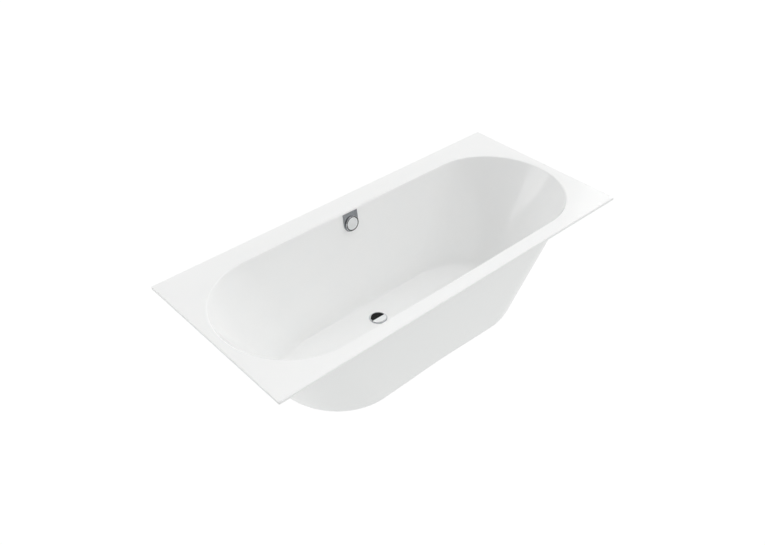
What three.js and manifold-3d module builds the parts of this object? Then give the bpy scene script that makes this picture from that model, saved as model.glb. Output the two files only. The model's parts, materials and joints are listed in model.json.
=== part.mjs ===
// A built-in, double-ended bathtub of white sanitary acrylic, with its waste and overflow set and its feet.
// Millimetres, +Z up. X runs along the bath, -Y is the front, and the overflow is in the back wall (+Y).
// The origin is on the floor, under the middle of the rim.

import * as THREE from 'three';
import { mergeVertices } from 'three/addons/utils/BufferGeometryUtils.js';
import Module from 'manifold-3d';

const wasm = await Module();
wasm.setup();

// ---- Driving dimensions -------------------------------------------------------------------------

const GAP = 0.3;                  // clearance between two pieces that touch, and round a rod in its hole

// Rim: a flat rectangular slab round the basin
const RIM_LENGTH = 1800;
const RIM_WIDTH = 800;
const RIM_THICKNESS = 12;
const RIM_CORNER = 5;             // plan radius of the rim's corners
const RIM_EDGE = 2;               // rounding of the rim's outer edges
const RIM_BORDER = { left: 34.5, right: 44.5, front: 65, back: 109 };   // from the edge to the wall's line
const OPENING_FILLET = 10;        // rounding where the rim rolls into the basin

// Basin: straight sides and half-elliptic ends, with walls that slope in to a smaller floor
const BASIN_DEPTH = 482;
const END_RUN = 266.5;            // how far an end wall slopes in on its way down
const SIDE_RUN = 74;              // how far a side wall slopes in
const END_REACH = { top: 303.5, floor: 265 };   // length of a half-elliptic end
const SIDE_RADIUS = 16;           // floor to wall, along the straight sides
const END_RADIUS = 110;           // floor to wall, at the tips of the two ends
const WALL = 8;
const FLOOR_THICKNESS = 9;
const HEEL_THINNING = 3;          // the formed sheet is this much thinner round the floor's edge
const GROUND_CLEARANCE = 90;      // from the ground to the underside of the basin

// Floor panel, laminated under the floor to carry the feet
const PANEL_THICKNESS = 12;
const PANEL_CORNER = 40;
const PANEL_INSET = { end: 94, side: 89 };      // from the floor's edge to the panel's
const NOTCH_MARGIN = 9;           // room round the waste and the trap

// Waste, in the floor
const FITTINGS_OFFSET = -11;      // drain and overflow, from the middle of the basin
const WASTE_INSET = 107;          // drain axis from the back edge of the floor
const FLANGE_R = 40;
const FLANGE_RING = 2;
const FLANGE_TAIL_R = 25;
const FLANGE_TAIL_WALL = 3;
const FLANGE_TAIL = 26;
const SEAT_WIDTH = 5;
const HUB_R = 7;
const HUB_HEIGHT = 6;
const SPOKES = 3;
const SPOKE_WIDTH = 4;
const WASHER_UPPER = 1.2;
const WASHER_LOWER = 2;
const PLUG_OVERHANG = 4;          // flange ring left showing round the plug
const PLUG_THICKNESS = 2.5;
const PLUG_TRAVEL = 8;
const PLUG_SEAL = 2;
const STEM_R = 4;
const STEM_TIP_R = 3;
const CUP_WALL = 3;
const LEVER_PIVOT = 18;           // pivot from the waste's axis
const LEVER_ARM = 17.5;
const LEVER_WIDTH = 6;
const LEVER_TIP_R = 3;
const PIN_R = 2;

// Drain pipe and trap: a low round cup with a hanging partition
const PIPE_R = 20;
const PIPE_WALL = 2;
const PORT = 58;                  // end of a port, from the axis of the body it leaves
const JOINT_SEAL = 2;
const TRAP_R = 44;
const TRAP_WALL = 2.8;
const TRAP_NECK = 13;
const TRAP_TAIL = 24;
const TRAP_GROUND_CLEARANCE = 8;
const TRAP_LID = 3.3;
const TRAP_LID_CLEARANCE = 3;     // between the lid and the basin
const TRAP_LID_SEAL = 2;
const PARTITION_THICKNESS = 2.5;
const PARTITION_SLOT = 8;         // the way for the water, under the partition
const NUT_WALL = 6;
const NUT_LENGTH = 22;
const NUT_RIBS = 8;
const OUTLET_BEND_R = 45;
const OUTLET_RUN = 90;
const OUTLET_CLEARANCE = 10;      // between the outlet and a foot rail

// Overflow, in the back wall
const OVERFLOW_DROP = 57;         // knob axis below the rim
const OVERFLOW_HOLE_R = 26;
const PLATE_R = 39;
const PLATE_TOP = 51;             // top edge of the plate above the knob axis
const PLATE_THICKNESS = 2.5;
const PLATE_STANDOFF = 0.5;
const INLETS = 6;
const INLET_R = 5.5;
const INLET_CIRCLE_R = 16.5;
const KNOB_R = 33.5;
const KNOB_THICKNESS = 8;
const KNOB_STANDOFF = 2.5;
const SPINDLE_R = 4;
const GRUB_R = 1.5;
const SPOOL = { radius: 8, groove: 5.2, width: 8 };
const OVERFLOW_CUP_R = 30;
const OVERFLOW_CUP_WALL = 2.5;
const OVERFLOW_FLANGE = 2.7;
const OVERFLOW_GASKET = 2.2;
const SCREW_R = 1.6;
const SCREW_OFFSET = 21;
const SCREW_LENGTH = 29;
const CABLE_R = 2.8;              // bore for the control cable
const CABLE_PORT_R = 5.5;
const CABLE_PORT = 12;            // length of a cable port
const CABLE_OFFSET = 20;          // cable port to one side of the overflow's axis
const OVERFLOW_PIPE_R = 14.5;
const OVERFLOW_PIPE_WALL = 2.5;
const OVERFLOW_PIPE_CLEARANCE = 10;   // between the pipe's spigot and the basin's back wall
const OVERFLOW_NUT_LENGTH = 24;

// Feet
const FOOT_INSET = { end: 160, side: 30 };      // from the panel's edge to a foot
const RAIL = { width: 40, height: 18, wall: 2 };
const STUD_R = 6;
const STUD_RISE = 4.6;            // how far a stud stands above its rail
const STUD_POCKET = 2;            // room round a stud in the panel
const STUD_HEX = { flats: 16, height: 7, above: 8 };
const NUT_FLATS = 19;
const NUT_HEIGHT = 8;
const LOCK_NUT_HEIGHT = 6;
const PAD_R = 24;
const PAD_HEIGHT = 14;
const BALL_R = 7;
const RAIL_SCREW = { radius: 2, head: 4, depth: 8 };
const RAIL_SCREW_PLACE = { x: 11, y: 70 };

// ---- Sizes and places worked out from them ------------------------------------------------------

const BASIN_X = (RIM_BORDER.left - RIM_BORDER.right) / 2;
const BASIN_Y = (RIM_BORDER.front - RIM_BORDER.back) / 2;
const BASIN_FLOOR = GROUND_CLEARANCE + FLOOR_THICKNESS;
const RIM_TOP = BASIN_FLOOR + BASIN_DEPTH;
const PANEL_TOP = GROUND_CLEARANCE - GAP;
const PANEL_BOTTOM = PANEL_TOP - PANEL_THICKNESS;
const RAIL_TOP = PANEL_BOTTOM - GAP;
const WALL_TILT = Math.atan2(SIDE_RUN, BASIN_DEPTH);

// An outline of the basin, measured from its middle, where the walls' lines meet the level of the rim
const openingLength = (RIM_LENGTH - RIM_BORDER.left - RIM_BORDER.right) / 2;
const openingWidth = (RIM_WIDTH - RIM_BORDER.front - RIM_BORDER.back) / 2;
const outlineAt = (drop) => {
  const share = drop / BASIN_DEPTH;
  return {
    length: openingLength - END_RUN * share,
    width: openingWidth - SIDE_RUN * share,
    reach: END_REACH.top + (END_REACH.floor - END_REACH.top) * share,
  };
};
const OPENING = outlineAt(0);
const FLOOR = outlineAt(BASIN_DEPTH);

const panelHalf = { length: FLOOR.length - PANEL_INSET.end, width: FLOOR.width - PANEL_INSET.side };
const FITTINGS_X = BASIN_X + FITTINGS_OFFSET;
const WASTE_Y = BASIN_Y + FLOOR.width - WASTE_INSET;
const WASTE_HOLE_R = FLANGE_TAIL_R + 2;
const WASTE_RECESS = WASHER_UPPER + 1.3;
const CUP_R = FLANGE_TAIL_R + CUP_WALL + 3;
const SPIGOT_R = OVERFLOW_PIPE_R + 1.5;
const TRAP_RIM = FLOOR_THICKNESS + TRAP_LID_CLEARANCE + TRAP_LID + TRAP_LID_SEAL + GAP;
const PIPE_LEVEL = TRAP_RIM + PIPE_R + 7.4;             // pipe axis below the basin floor
const CUP_DEPTH = PIPE_LEVEL + PIPE_R + 1;
const LEVER_LEVEL = PIPE_LEVEL + 5;
const CABLE_LEVEL = LEVER_LEVEL - LEVER_ARM;
const OVERFLOW_PORT_LEVEL = FLOOR_THICKNESS + SPIGOT_R + 9;
const TRAP_INLET = PORT + JOINT_SEAL + 2 * GAP;
const TRAP_X = TRAP_INLET + TRAP_NECK + TRAP_R;         // trap axis from the waste's axis
const TRAP_OUTLET = TRAP_X + TRAP_R + TRAP_TAIL;
const TRAP_DEPTH = BASIN_FLOOR - TRAP_GROUND_CLEARANCE;
const OUTLET_START = TRAP_OUTLET + JOINT_SEAL + 2 * GAP;
const OUTLET_TURN = OUTLET_START + NUT_LENGTH / 2 + 1;
const OUTLET_EDGE = OUTLET_TURN + OUTLET_BEND_R + PIPE_R;        // far side of the turned outlet

// The feet stand in from the panel's ends, and always clear of the outlet
const FOOT_X = Math.max(
  panelHalf.length - FOOT_INSET.end,
  OUTLET_EDGE - FITTINGS_OFFSET + RAIL.width / 2 + OUTLET_CLEARANCE,
);
const FOOT_Y = panelHalf.width - FOOT_INSET.side;

// ---- Materials ----------------------------------------------------------------------------------

const finish = (color, roughness, metalness) => (
  new THREE.MeshStandardMaterial({ color, roughness, metalness })
);
const acrylic = () => finish('#f6f6f4', 0.12, 0);
const chrome = () => finish('#c9ccd0', 0.06, 1);
const brass = () => finish('#c2a25a', 0.3, 1);
const galvanised = () => finish('#a9adb0', 0.45, 0.9);
const stainless = () => finish('#b9bbbd', 0.3, 1);
const rubber = () => finish('#1d1d1e', 0.8, 0);
const whitePlastic = () => finish('#e6e6e2', 0.45, 0);
const greyPlastic = () => finish('#8f9396', 0.5, 0);
const blackPlastic = () => finish('#2a2b2d', 0.5, 0);
const plywood = () => finish('#b08d5f', 0.85, 0);

// ---- Solids -------------------------------------------------------------------------------------

const bath = new THREE.Group();

function toSolid(geometry) {
  geometry.deleteAttribute('normal');
  geometry.deleteAttribute('uv');
  const merged = mergeVertices(geometry, 1e-3);
  return new wasm.Manifold(new wasm.Mesh({
    numProp: 3,
    vertProperties: merged.attributes.position.array,
    triVerts: new Uint32Array(merged.index.array),
  }));
}

function toGeometry(solid) {
  const { vertProperties, triVerts } = solid.getMesh();
  const geometry = new THREE.BufferGeometry();
  geometry.setAttribute('position', new THREE.BufferAttribute(vertProperties, 3));
  geometry.setIndex(new THREE.BufferAttribute(triVerts, 1));
  geometry.computeVertexNormals();
  return geometry;
}

const join = (...geometries) => toGeometry(geometries.map(toSolid).reduce((a, b) => a.add(b)));
const cut = (geometry, ...tools) => (
  toGeometry(tools.map(toSolid).reduce((a, b) => a.subtract(b), toSolid(geometry)))
);

function add(parent, name, geometry, material) {
  const mesh = new THREE.Mesh(geometry, material);
  mesh.name = name;
  parent.add(mesh);
}

// Sides for a round of this radius: its flats stay less than GAP inside the true circle.
const sides = (radius) => 4 * Math.round(0.9 * Math.sqrt(radius) + 1);

// A body of revolution about Z. The profile is [radius, z] pairs that run upwards on the outside.
function turned(profile) {
  const points = profile.map(([r, z]) => new THREE.Vector2(r, z));
  const widest = Math.max(...profile.map(([r]) => r));
  return new THREE.LatheGeometry(points, sides(widest)).rotateX(Math.PI / 2);
}

// A disc or, with a bore, a ring about Z between two heights
const disc = (radius, bottom, top) => turned([[0, bottom], [radius, bottom], [radius, top], [0, top]]);
const ring = (radius, bore, bottom, top) => (
  turned([[bore, bottom], [radius, bottom], [radius, top], [bore, top], [bore, bottom]])
);

function box(x0, x1, y0, y1, z0, z1) {
  const geometry = new THREE.BoxGeometry(x1 - x0, y1 - y0, z1 - z0);
  return geometry.translate((x0 + x1) / 2, (y0 + y1) / 2, (z0 + z1) / 2);
}

function hexagon(flats, bottom, top) {
  const geometry = new THREE.CylinderGeometry(flats / Math.sqrt(3), flats / Math.sqrt(3), top - bottom, 6);
  return geometry.rotateX(Math.PI / 2).translate(0, 0, (top + bottom) / 2);
}

// A rectangle with rounded corners, round the origin
function rounded(halfLength, halfWidth, radius) {
  const x = halfLength - radius;
  const y = halfWidth - radius;
  const outline = new THREE.Shape();
  outline.absarc(x, y, radius, 0, Math.PI / 2);
  outline.absarc(-x, y, radius, Math.PI / 2, Math.PI);
  outline.absarc(-x, -y, radius, Math.PI, 1.5 * Math.PI);
  outline.absarc(x, -y, radius, 1.5 * Math.PI, 2 * Math.PI);
  return outline;
}

// An outline given a thickness, upwards from z = 0
function plate(outline, depth, curveSegments) {
  return new THREE.ExtrudeGeometry(outline, { depth, curveSegments, bevelEnabled: false });
}

// A hollow pipe along a path
function pipe(path, radius, wall, steps) {
  const section = new THREE.Shape().absarc(0, 0, radius, 0, 2 * Math.PI);
  section.holes.push(new THREE.Path().absarc(0, 0, radius - wall, 0, 2 * Math.PI, true));
  return new THREE.ExtrudeGeometry(section, { extrudePath: path, steps, curveSegments: 7 });
}

// Turns a geometry built along Z to run along -X, +Y or -Y
const alongBackX = (geometry) => geometry.rotateY(-Math.PI / 2);
const alongX = (geometry) => geometry.rotateY(Math.PI / 2);
const alongY = (geometry) => geometry.rotateX(-Math.PI / 2);
const alongBackY = (geometry) => geometry.rotateX(Math.PI / 2);

// ---- Tub shell ----------------------------------------------------------------------------------

const END_STEPS = 22;             // steps round one half-elliptic end
const STRAIGHT_STEPS = 6;
const FILLET_STEPS = 6;
const LIP_STEPS = 3;

// Stations round the basin. Each says where it sits on any outline: which end it belongs to, how far along
// that end's reach, how far across the width, and how near the end's tip.
function stations() {
  const around = [];
  for (const end of [1, -1]) {
    for (let i = 0; i <= END_STEPS; i++) {
      const turn = Math.PI * (i / END_STEPS - 0.5);
      const tip = 1 - Math.abs(2 * i / END_STEPS - 1);
      around.push({ end, along: Math.cos(turn), across: end * Math.sin(turn), tip });
    }
    for (let i = 1; i < STRAIGHT_STEPS; i++) {
      around.push({ end: end * (1 - 2 * i / STRAIGHT_STEPS), along: 0, across: end, tip: 0 });
    }
  }
  return around;
}

function place({ end, along, across }, { length, width, reach }) {
  const x = end * (length - reach + along * reach);
  return new THREE.Vector2(BASIN_X + x, BASIN_Y + across * width);
}

// The basin's form, as one closed solid: a ruled wall between two outlines, with a fillet at the floor that
// grows from the sides to the ends. With a lip, its top flares out through the rim.
function basinForm(top, floor, depth, sideRadius, endRadius, lip) {
  const columns = stations().map((station) => {
    const high = place(station, top);
    const low = place(station, floor);
    const run = high.distanceTo(low);
    const out = high.clone().sub(low).divideScalar(run);
    const slope = Math.atan2(depth, run);
    const ease = station.tip ** 2 * (3 - 2 * station.tip);
    const radius = sideRadius + (endRadius - sideRadius) * ease;
    const heel = radius * Math.tan(slope / 2);
    const column = [];
    const put = (distance, z) => {
      column.push([low.x + out.x * distance, low.y + out.y * distance, RIM_TOP + z]);
    };
    if (lip > 0) {
      const edge = run + lip * Math.tan(slope / 2);
      put(edge, RIM_THICKNESS);
      for (let i = 0; i <= LIP_STEPS; i++) {
        const turn = (i / LIP_STEPS) * slope;
        put(edge - lip * Math.sin(turn), lip * (Math.cos(turn) - 1));
      }
    } else {
      put(run * (1 - RIM_THICKNESS / 2 / depth), -RIM_THICKNESS / 2);
    }
    for (let i = 0; i <= FILLET_STEPS; i++) {
      const turn = slope * (1 - i / FILLET_STEPS);
      put(radius * Math.sin(turn) - heel, radius * (1 - Math.cos(turn)) - depth);
    }
    return column;
  });
  return loft(columns);
}

// Joins columns of points, each running from the top down, into a solid with a flat lid and a flat floor
function loft(columns) {
  const height = columns[0].length;
  const vertices = columns.flat();
  const at = (column, row) => (column % columns.length) * height + row;
  const lid = vertices.push([BASIN_X, BASIN_Y, columns[0][0][2]]) - 1;
  const base = vertices.push([BASIN_X, BASIN_Y, columns[0][height - 1][2]]) - 1;
  const faces = [];
  for (let c = 0; c < columns.length; c++) {
    faces.push(lid, at(c, 0), at(c + 1, 0), base, at(c + 1, height - 1), at(c, height - 1));
    for (let row = 0; row < height - 1; row++) {
      faces.push(at(c, row), at(c, row + 1), at(c + 1, row));
      faces.push(at(c + 1, row), at(c, row + 1), at(c + 1, row + 1));
    }
  }
  const geometry = new THREE.BufferGeometry();
  geometry.setAttribute('position', new THREE.Float32BufferAttribute(vertices.flat(), 3));
  geometry.setIndex(faces);
  return geometry;
}

// The outline of the wall's outer face, one wall's thickness outside the inner one
function outerOutlineAt(drop) {
  const { length, width, reach } = outlineAt(drop);
  const end = WALL * Math.hypot(1, END_RUN / BASIN_DEPTH);
  const side = WALL * Math.hypot(1, SIDE_RUN / BASIN_DEPTH);
  return { length: length + end, width: width + side, reach: reach + end };
}

function rimSlab() {
  const outline = rounded(RIM_LENGTH / 2 - RIM_EDGE, RIM_WIDTH / 2 - RIM_EDGE, RIM_CORNER - RIM_EDGE);
  const slab = new THREE.ExtrudeGeometry(outline, {
    depth: RIM_THICKNESS - 2 * RIM_EDGE,
    bevelThickness: RIM_EDGE,
    bevelSize: RIM_EDGE,
    bevelSegments: 2,
    curveSegments: 3,
  });
  return slab.translate(0, 0, RIM_TOP - RIM_THICKNESS + RIM_EDGE);
}

// Overflow fittings: z = 0 is the inner face of the back wall, +Z points into the basin and +Y up the wall
const overflow = new THREE.Group();
overflow.position.set(FITTINGS_X, BASIN_Y + outlineAt(OVERFLOW_DROP).width, RIM_TOP - OVERFLOW_DROP);
overflow.rotation.x = Math.PI / 2 - WALL_TILT;
overflow.updateMatrix();
bath.add(overflow);

// Waste fittings: z = 0 is the basin floor
const waste = new THREE.Group();
waste.position.set(FITTINGS_X, WASTE_Y, BASIN_FLOOR);
waste.updateMatrix();
bath.add(waste);

function tubShell() {
  const depth = BASIN_DEPTH + FLOOR_THICKNESS;
  const heel = FLOOR_THICKNESS + HEEL_THINNING;
  const outerRadii = [SIDE_RADIUS + heel, END_RADIUS + heel];
  const outer = basinForm(outerOutlineAt(0), outerOutlineAt(depth), depth, ...outerRadii, 0);
  const hollow = basinForm(OPENING, FLOOR, BASIN_DEPTH, SIDE_RADIUS, END_RADIUS, OPENING_FILLET);
  const wasteHole = disc(WASTE_HOLE_R, -2 * FLOOR_THICKNESS, 1).applyMatrix4(waste.matrix);
  const wasteRecess = disc(FLANGE_R + 1, -WASTE_RECESS, 1).applyMatrix4(waste.matrix);
  const overflowHole = disc(OVERFLOW_HOLE_R, -2 * WALL, 5).applyMatrix4(overflow.matrix);
  return cut(join(rimSlab(), outer), hollow, wasteHole, wasteRecess, overflowHole);
}
add(bath, 'tub_shell', tubShell(), acrylic());

// ---- Floor panel --------------------------------------------------------------------------------

const bothWays = (make) => [-1, 1].flatMap(make);
const { x: screwX, y: screwY } = RAIL_SCREW_PLACE;
const railScrewPlaces = bothWays((x) => bothWays((y) => [[x * screwX, y * screwY]]));

const frame = new THREE.Group();
frame.position.set(BASIN_X, BASIN_Y, 0);
bath.add(frame);

function floorPanel() {
  const outline = rounded(panelHalf.length, panelHalf.width, PANEL_CORNER);
  const panel = plate(outline, PANEL_THICKNESS, 4).translate(0, 0, PANEL_BOTTOM);
  const x = FITTINGS_X - BASIN_X;
  const y = WASTE_Y - BASIN_Y;
  const notch = box(
    x - TRAP_OUTLET - NUT_LENGTH / 2 - NOTCH_MARGIN, x + CUP_R + CABLE_PORT + NOTCH_MARGIN,
    y - TRAP_R - 3 - NOTCH_MARGIN, y + RIM_WIDTH, PANEL_BOTTOM - 1, PANEL_TOP + 1,
  );
  const pockets = bothWays((way) => bothWays((side) => (
    disc(STUD_R + STUD_POCKET, 0, PANEL_TOP + 1).translate(way * FOOT_X, side * FOOT_Y, 0)
  )));
  const pilots = bothWays((way) => railScrewPlaces.map(([sx, sy]) => (
    disc(RAIL_SCREW.radius + GAP, 0, PANEL_BOTTOM + RAIL_SCREW.depth + 1).translate(way * FOOT_X + sx, sy, 0)
  )));
  return cut(panel, notch, ...pockets, ...pilots);
}
add(frame, 'floor_panel', floorPanel(), plywood());

// ---- Waste --------------------------------------------------------------------------------------

const washerBottom = -WASTE_RECESS + GAP;
const ringBottom = washerBottom + WASHER_UPPER + GAP;
const ringTop = ringBottom + FLANGE_RING;
const washerUpper = ring(FLANGE_R - 1, WASTE_HOLE_R + 1, washerBottom, ringBottom - GAP);
add(waste, 'waste_washer_upper', washerUpper, rubber());

function wasteFlange() {
  const bore = FLANGE_TAIL_R - FLANGE_TAIL_WALL;
  const body = turned([
    [bore, -FLANGE_TAIL], [FLANGE_TAIL_R, -FLANGE_TAIL], [FLANGE_TAIL_R, ringBottom], [FLANGE_R, ringBottom],
    [FLANGE_R, ringTop - 0.8], [FLANGE_R - 0.8, ringTop], [bore + SEAT_WIDTH, ringTop],
    [bore, ringTop - SEAT_WIDTH], [bore, -FLANGE_TAIL],
  ]);
  const hub = ring(HUB_R, STEM_R + GAP, -FLANGE_TAIL, -FLANGE_TAIL + HUB_HEIGHT);
  const spokes = Array.from({ length: SPOKES }, (_, i) => (
    box(HUB_R - 1, bore + 1, -SPOKE_WIDTH / 2, SPOKE_WIDTH / 2, -FLANGE_TAIL, -FLANGE_TAIL + HUB_HEIGHT)
      .rotateZ((i * 2 * Math.PI) / SPOKES)
  ));
  return join(body, hub, ...spokes);
}
add(waste, 'waste_flange', wasteFlange(), chrome());

// Plug: closed at rest, and lifted by its stem
const plugBottom = ringTop + 2 * GAP;
const plugTop = plugBottom + PLUG_THICKNESS;
const plugR = FLANGE_R - PLUG_OVERHANG;
const bossBottom = -FLOOR_THICKNESS + 3;
const bossR = STEM_TIP_R + 4;
add(waste, 'plug_disc', turned([
  [0, -0.5], [STEM_TIP_R + GAP, -0.5], [STEM_TIP_R + GAP, bossBottom],
  [bossR, bossBottom], [bossR, plugBottom],
  [plugR - 0.6, plugBottom], [plugR, plugBottom + 0.6], [plugR, plugTop - 1.1], [plugR - 0.6, plugTop - 0.4],
  [plugR - 3, plugTop], [0, plugTop + 0.4],
]), chrome());
const sealR = FLANGE_TAIL_R - FLANGE_TAIL_WALL + SEAT_WIDTH - 2;
add(waste, 'plug_seal', ring(sealR, bossR + GAP, plugBottom - GAP - PLUG_SEAL, plugBottom - GAP), rubber());
const stemBottom = -LEVER_LEVEL + LEVER_TIP_R + GAP + 0.2;
add(waste, 'plug_stem', turned([
  [0, stemBottom], [STEM_R, stemBottom], [STEM_R, bossBottom - GAP], [STEM_TIP_R, bossBottom - GAP],
  [STEM_TIP_R, -0.5 - GAP], [0, -0.5 - GAP],
]), brass());

// Cup under the floor, with ports for the drain (-X), the overflow pipe (+Y) and the control cable (+X)
const cupTop = -FLOOR_THICKNESS - WASHER_LOWER - 2 * GAP;
const washerLower = ring(CUP_R + 5, WASTE_HOLE_R + 1, cupTop + GAP, cupTop + GAP + WASHER_LOWER);
add(waste, 'waste_washer_lower', washerLower, rubber());

const pinHalf = Math.sqrt(CUP_R ** 2 - LEVER_PIVOT ** 2) - 1;
const onPivot = (geometry) => geometry.translate(LEVER_PIVOT, 0, -LEVER_LEVEL);

function wasteBody() {
  const bore = CUP_R - CUP_WALL;
  const neck = FLANGE_TAIL_R + GAP;
  const cup = turned([
    [0, -CUP_DEPTH], [CUP_R, -CUP_DEPTH], [CUP_R, cupTop - 4], [CUP_R + 6, cupTop - 4], [CUP_R + 6, cupTop],
    [0, cupTop],
  ]);
  const shoulder = -FLANGE_TAIL - 1;
  const hollow = turned([
    [0, -CUP_DEPTH + CUP_WALL], [bore, -CUP_DEPTH + CUP_WALL], [bore, shoulder], [neck, shoulder],
    [neck, cupTop + 1], [0, cupTop + 1],
  ]);
  const onDrain = (geometry) => alongBackX(geometry).translate(0, 0, -PIPE_LEVEL);
  const onOverflow = (geometry) => alongY(geometry).translate(0, 0, -OVERFLOW_PORT_LEVEL);
  const onCable = (geometry) => alongX(geometry).translate(0, 0, -CABLE_LEVEL);
  const ports = [
    onDrain(disc(PIPE_R, bore, PORT)),
    onOverflow(disc(SPIGOT_R, bore, PORT)),
    onCable(disc(CABLE_PORT_R, bore, CUP_R + CABLE_PORT)),
  ];
  const bores = [
    onDrain(disc(PIPE_R - PIPE_WALL, 0, PORT + 1)),
    onOverflow(disc(SPIGOT_R - OVERFLOW_PIPE_WALL, 0, PORT + 1)),
    onCable(disc(CABLE_R, 0, CUP_R + CABLE_PORT + 1)),
  ];
  const pinSockets = onPivot(alongY(disc(PIN_R + GAP, -pinHalf - GAP, pinHalf + GAP)));
  return cut(join(cup, ...ports), hollow, ...bores, pinSockets);
}
add(waste, 'waste_body', wasteBody(), whitePlastic());

// Bell crank: the cable pulls its upright arm outwards, and its nose lifts the plug's stem
function liftLever() {
  const half = LEVER_WIDTH / 2;
  const across = (radius, width) => alongY(disc(radius, -width, width));
  const lean = Math.asin(PLUG_TRAVEL / LEVER_PIVOT) / 2;
  const arm = box(-2.5, 2.5, -half, half, 0, LEVER_ARM).rotateY(-lean);
  const nose = box(-LEVER_PIVOT, 0, -half, half, -2.5, 2.5);
  const tip = across(LEVER_TIP_R, half).translate(-LEVER_PIVOT, 0, 0);
  return cut(join(nose, arm, across(PIN_R + 3, half), tip), across(PIN_R + GAP, LEVER_WIDTH));
}
add(waste, 'lift_lever', onPivot(liftLever()), blackPlastic());
add(waste, 'lever_pin', onPivot(alongY(disc(PIN_R, -pinHalf, pinHalf))), stainless());

// ---- Trap, along the drain pipe -----------------------------------------------------------------

const trap = new THREE.Group();
trap.position.z = -PIPE_LEVEL;
waste.add(trap);

// A ribbed union nut about Z, centred on the joint it closes
function unionNut(joint, bore, length) {
  const outer = bore + NUT_WALL - GAP;
  const ribs = Array.from({ length: NUT_RIBS }, (_, i) => (
    box(outer - 1, outer + 2, -2.5, 2.5, 2 - length / 2, length / 2 - 2).rotateZ((i * 2 * Math.PI) / NUT_RIBS)
  ));
  return join(ring(outer, bore, -length / 2, length / 2), ...ribs).translate(0, 0, joint);
}

for (const [name, start] of [['inlet', PORT], ['outlet', TRAP_OUTLET]]) {
  const seal = ring(PIPE_R, PIPE_R - PIPE_WALL, start + GAP, start + GAP + JOINT_SEAL);
  add(trap, `trap_${name}_seal`, alongBackX(seal), rubber());
  const nut = unionNut(start + GAP + JOINT_SEAL / 2, PIPE_R + GAP, NUT_LENGTH);
  add(trap, `trap_${name}_nut`, alongBackX(nut), greyPlastic());
}

const trapTop = PIPE_LEVEL - TRAP_RIM;
const trapBottom = PIPE_LEVEL - TRAP_DEPTH;
const trapBore = TRAP_R - TRAP_WALL;

function trapBody() {
  const cup = disc(TRAP_R, trapBottom, trapTop).translate(-TRAP_X, 0, 0);
  const hollow = disc(trapBore, trapBottom + TRAP_WALL, trapTop + 1).translate(-TRAP_X, 0, 0);
  const inlet = alongBackX(disc(PIPE_R, TRAP_INLET, TRAP_X - trapBore));
  const inletBore = alongBackX(disc(PIPE_R - PIPE_WALL, TRAP_INLET - 1, TRAP_X));
  const outlet = alongBackX(disc(PIPE_R, TRAP_X + trapBore, TRAP_OUTLET));
  const outletBore = alongBackX(disc(PIPE_R - PIPE_WALL, TRAP_X, TRAP_OUTLET + 1));
  return cut(join(cup, inlet, outlet), hollow, inletBore, outletBore);
}
add(trap, 'trap_body', trapBody(), whitePlastic());

const trapLidSeal = ring(TRAP_R, trapBore, trapTop + GAP, trapTop + GAP + TRAP_LID_SEAL);
add(trap, 'trap_lid_seal', trapLidSeal.translate(-TRAP_X, 0, 0), rubber());

function trapLid() {
  const under = trapTop + TRAP_LID_SEAL + 2 * GAP;
  const top = disc(TRAP_R + 3, under, under + TRAP_LID - GAP);
  const skirt = ring(TRAP_R + 3, TRAP_R + GAP, PIPE_R + 1, under + 1);
  const reach = trapBore - 1;
  const partition = box(
    -PARTITION_THICKNESS / 2, PARTITION_THICKNESS / 2, -reach, reach,
    trapBottom + TRAP_WALL + PARTITION_SLOT, under + 1,
  );
  return join(top, skirt, partition).translate(-TRAP_X, 0, 0);
}
add(trap, 'trap_lid', trapLid(), greyPlastic());

function outletBend() {
  const far = OUTLET_TURN + OUTLET_BEND_R;
  const bow = 0.45 * OUTLET_BEND_R;
  const at = (x, y) => new THREE.Vector3(-x, y, 0);
  const path = new THREE.CurvePath();
  path.add(new THREE.LineCurve3(at(OUTLET_START, 0), at(OUTLET_TURN, 0)));
  path.add(new THREE.CubicBezierCurve3(
    at(OUTLET_TURN, 0), at(far - bow, 0), at(far, bow), at(far, OUTLET_BEND_R),
  ));
  path.add(new THREE.LineCurve3(at(far, OUTLET_BEND_R), at(far, OUTLET_BEND_R + OUTLET_RUN)));
  return pipe(path, PIPE_R, PIPE_WALL, 12);
}
add(trap, 'outlet_bend', outletBend(), whitePlastic());

// ---- Overflow -----------------------------------------------------------------------------------

const plateFront = PLATE_STANDOFF + PLATE_THICKNESS;
const knobBack = plateFront + KNOB_STANDOFF;
const knobFront = knobBack + KNOB_THICKNESS;
const spindleTip = knobFront - 2.5;

function overflowPlate() {
  const outline = new THREE.Shape();
  outline.moveTo(PLATE_R, 0).lineTo(PLATE_R, PLATE_TOP).lineTo(-PLATE_R, PLATE_TOP).lineTo(-PLATE_R, 0);
  outline.absarc(0, 0, PLATE_R, Math.PI, 2 * Math.PI);
  const blank = plate(outline, PLATE_THICKNESS, 12).translate(0, 0, PLATE_STANDOFF);
  const hole = (radius, distance, turn) => (
    disc(radius, 0, plateFront + 1).translate(distance * Math.cos(turn), distance * Math.sin(turn), 0)
  );
  const inlets = Array.from({ length: INLETS }, (_, i) => (
    hole(INLET_R, INLET_CIRCLE_R, (i + 0.5) * (2 * Math.PI / INLETS))
  ));
  const screwHoles = [0, Math.PI].map((turn) => hole(SCREW_R + GAP, SCREW_OFFSET, turn));
  return cut(blank, hole(SPINDLE_R + GAP, 0, 0), ...inlets, ...screwHoles);
}
add(overflow, 'overflow_plate', overflowPlate(), chrome());

const grubAt = (geometry) => alongBackY(geometry).translate(0, 0, knobBack + KNOB_THICKNESS / 2);

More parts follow.
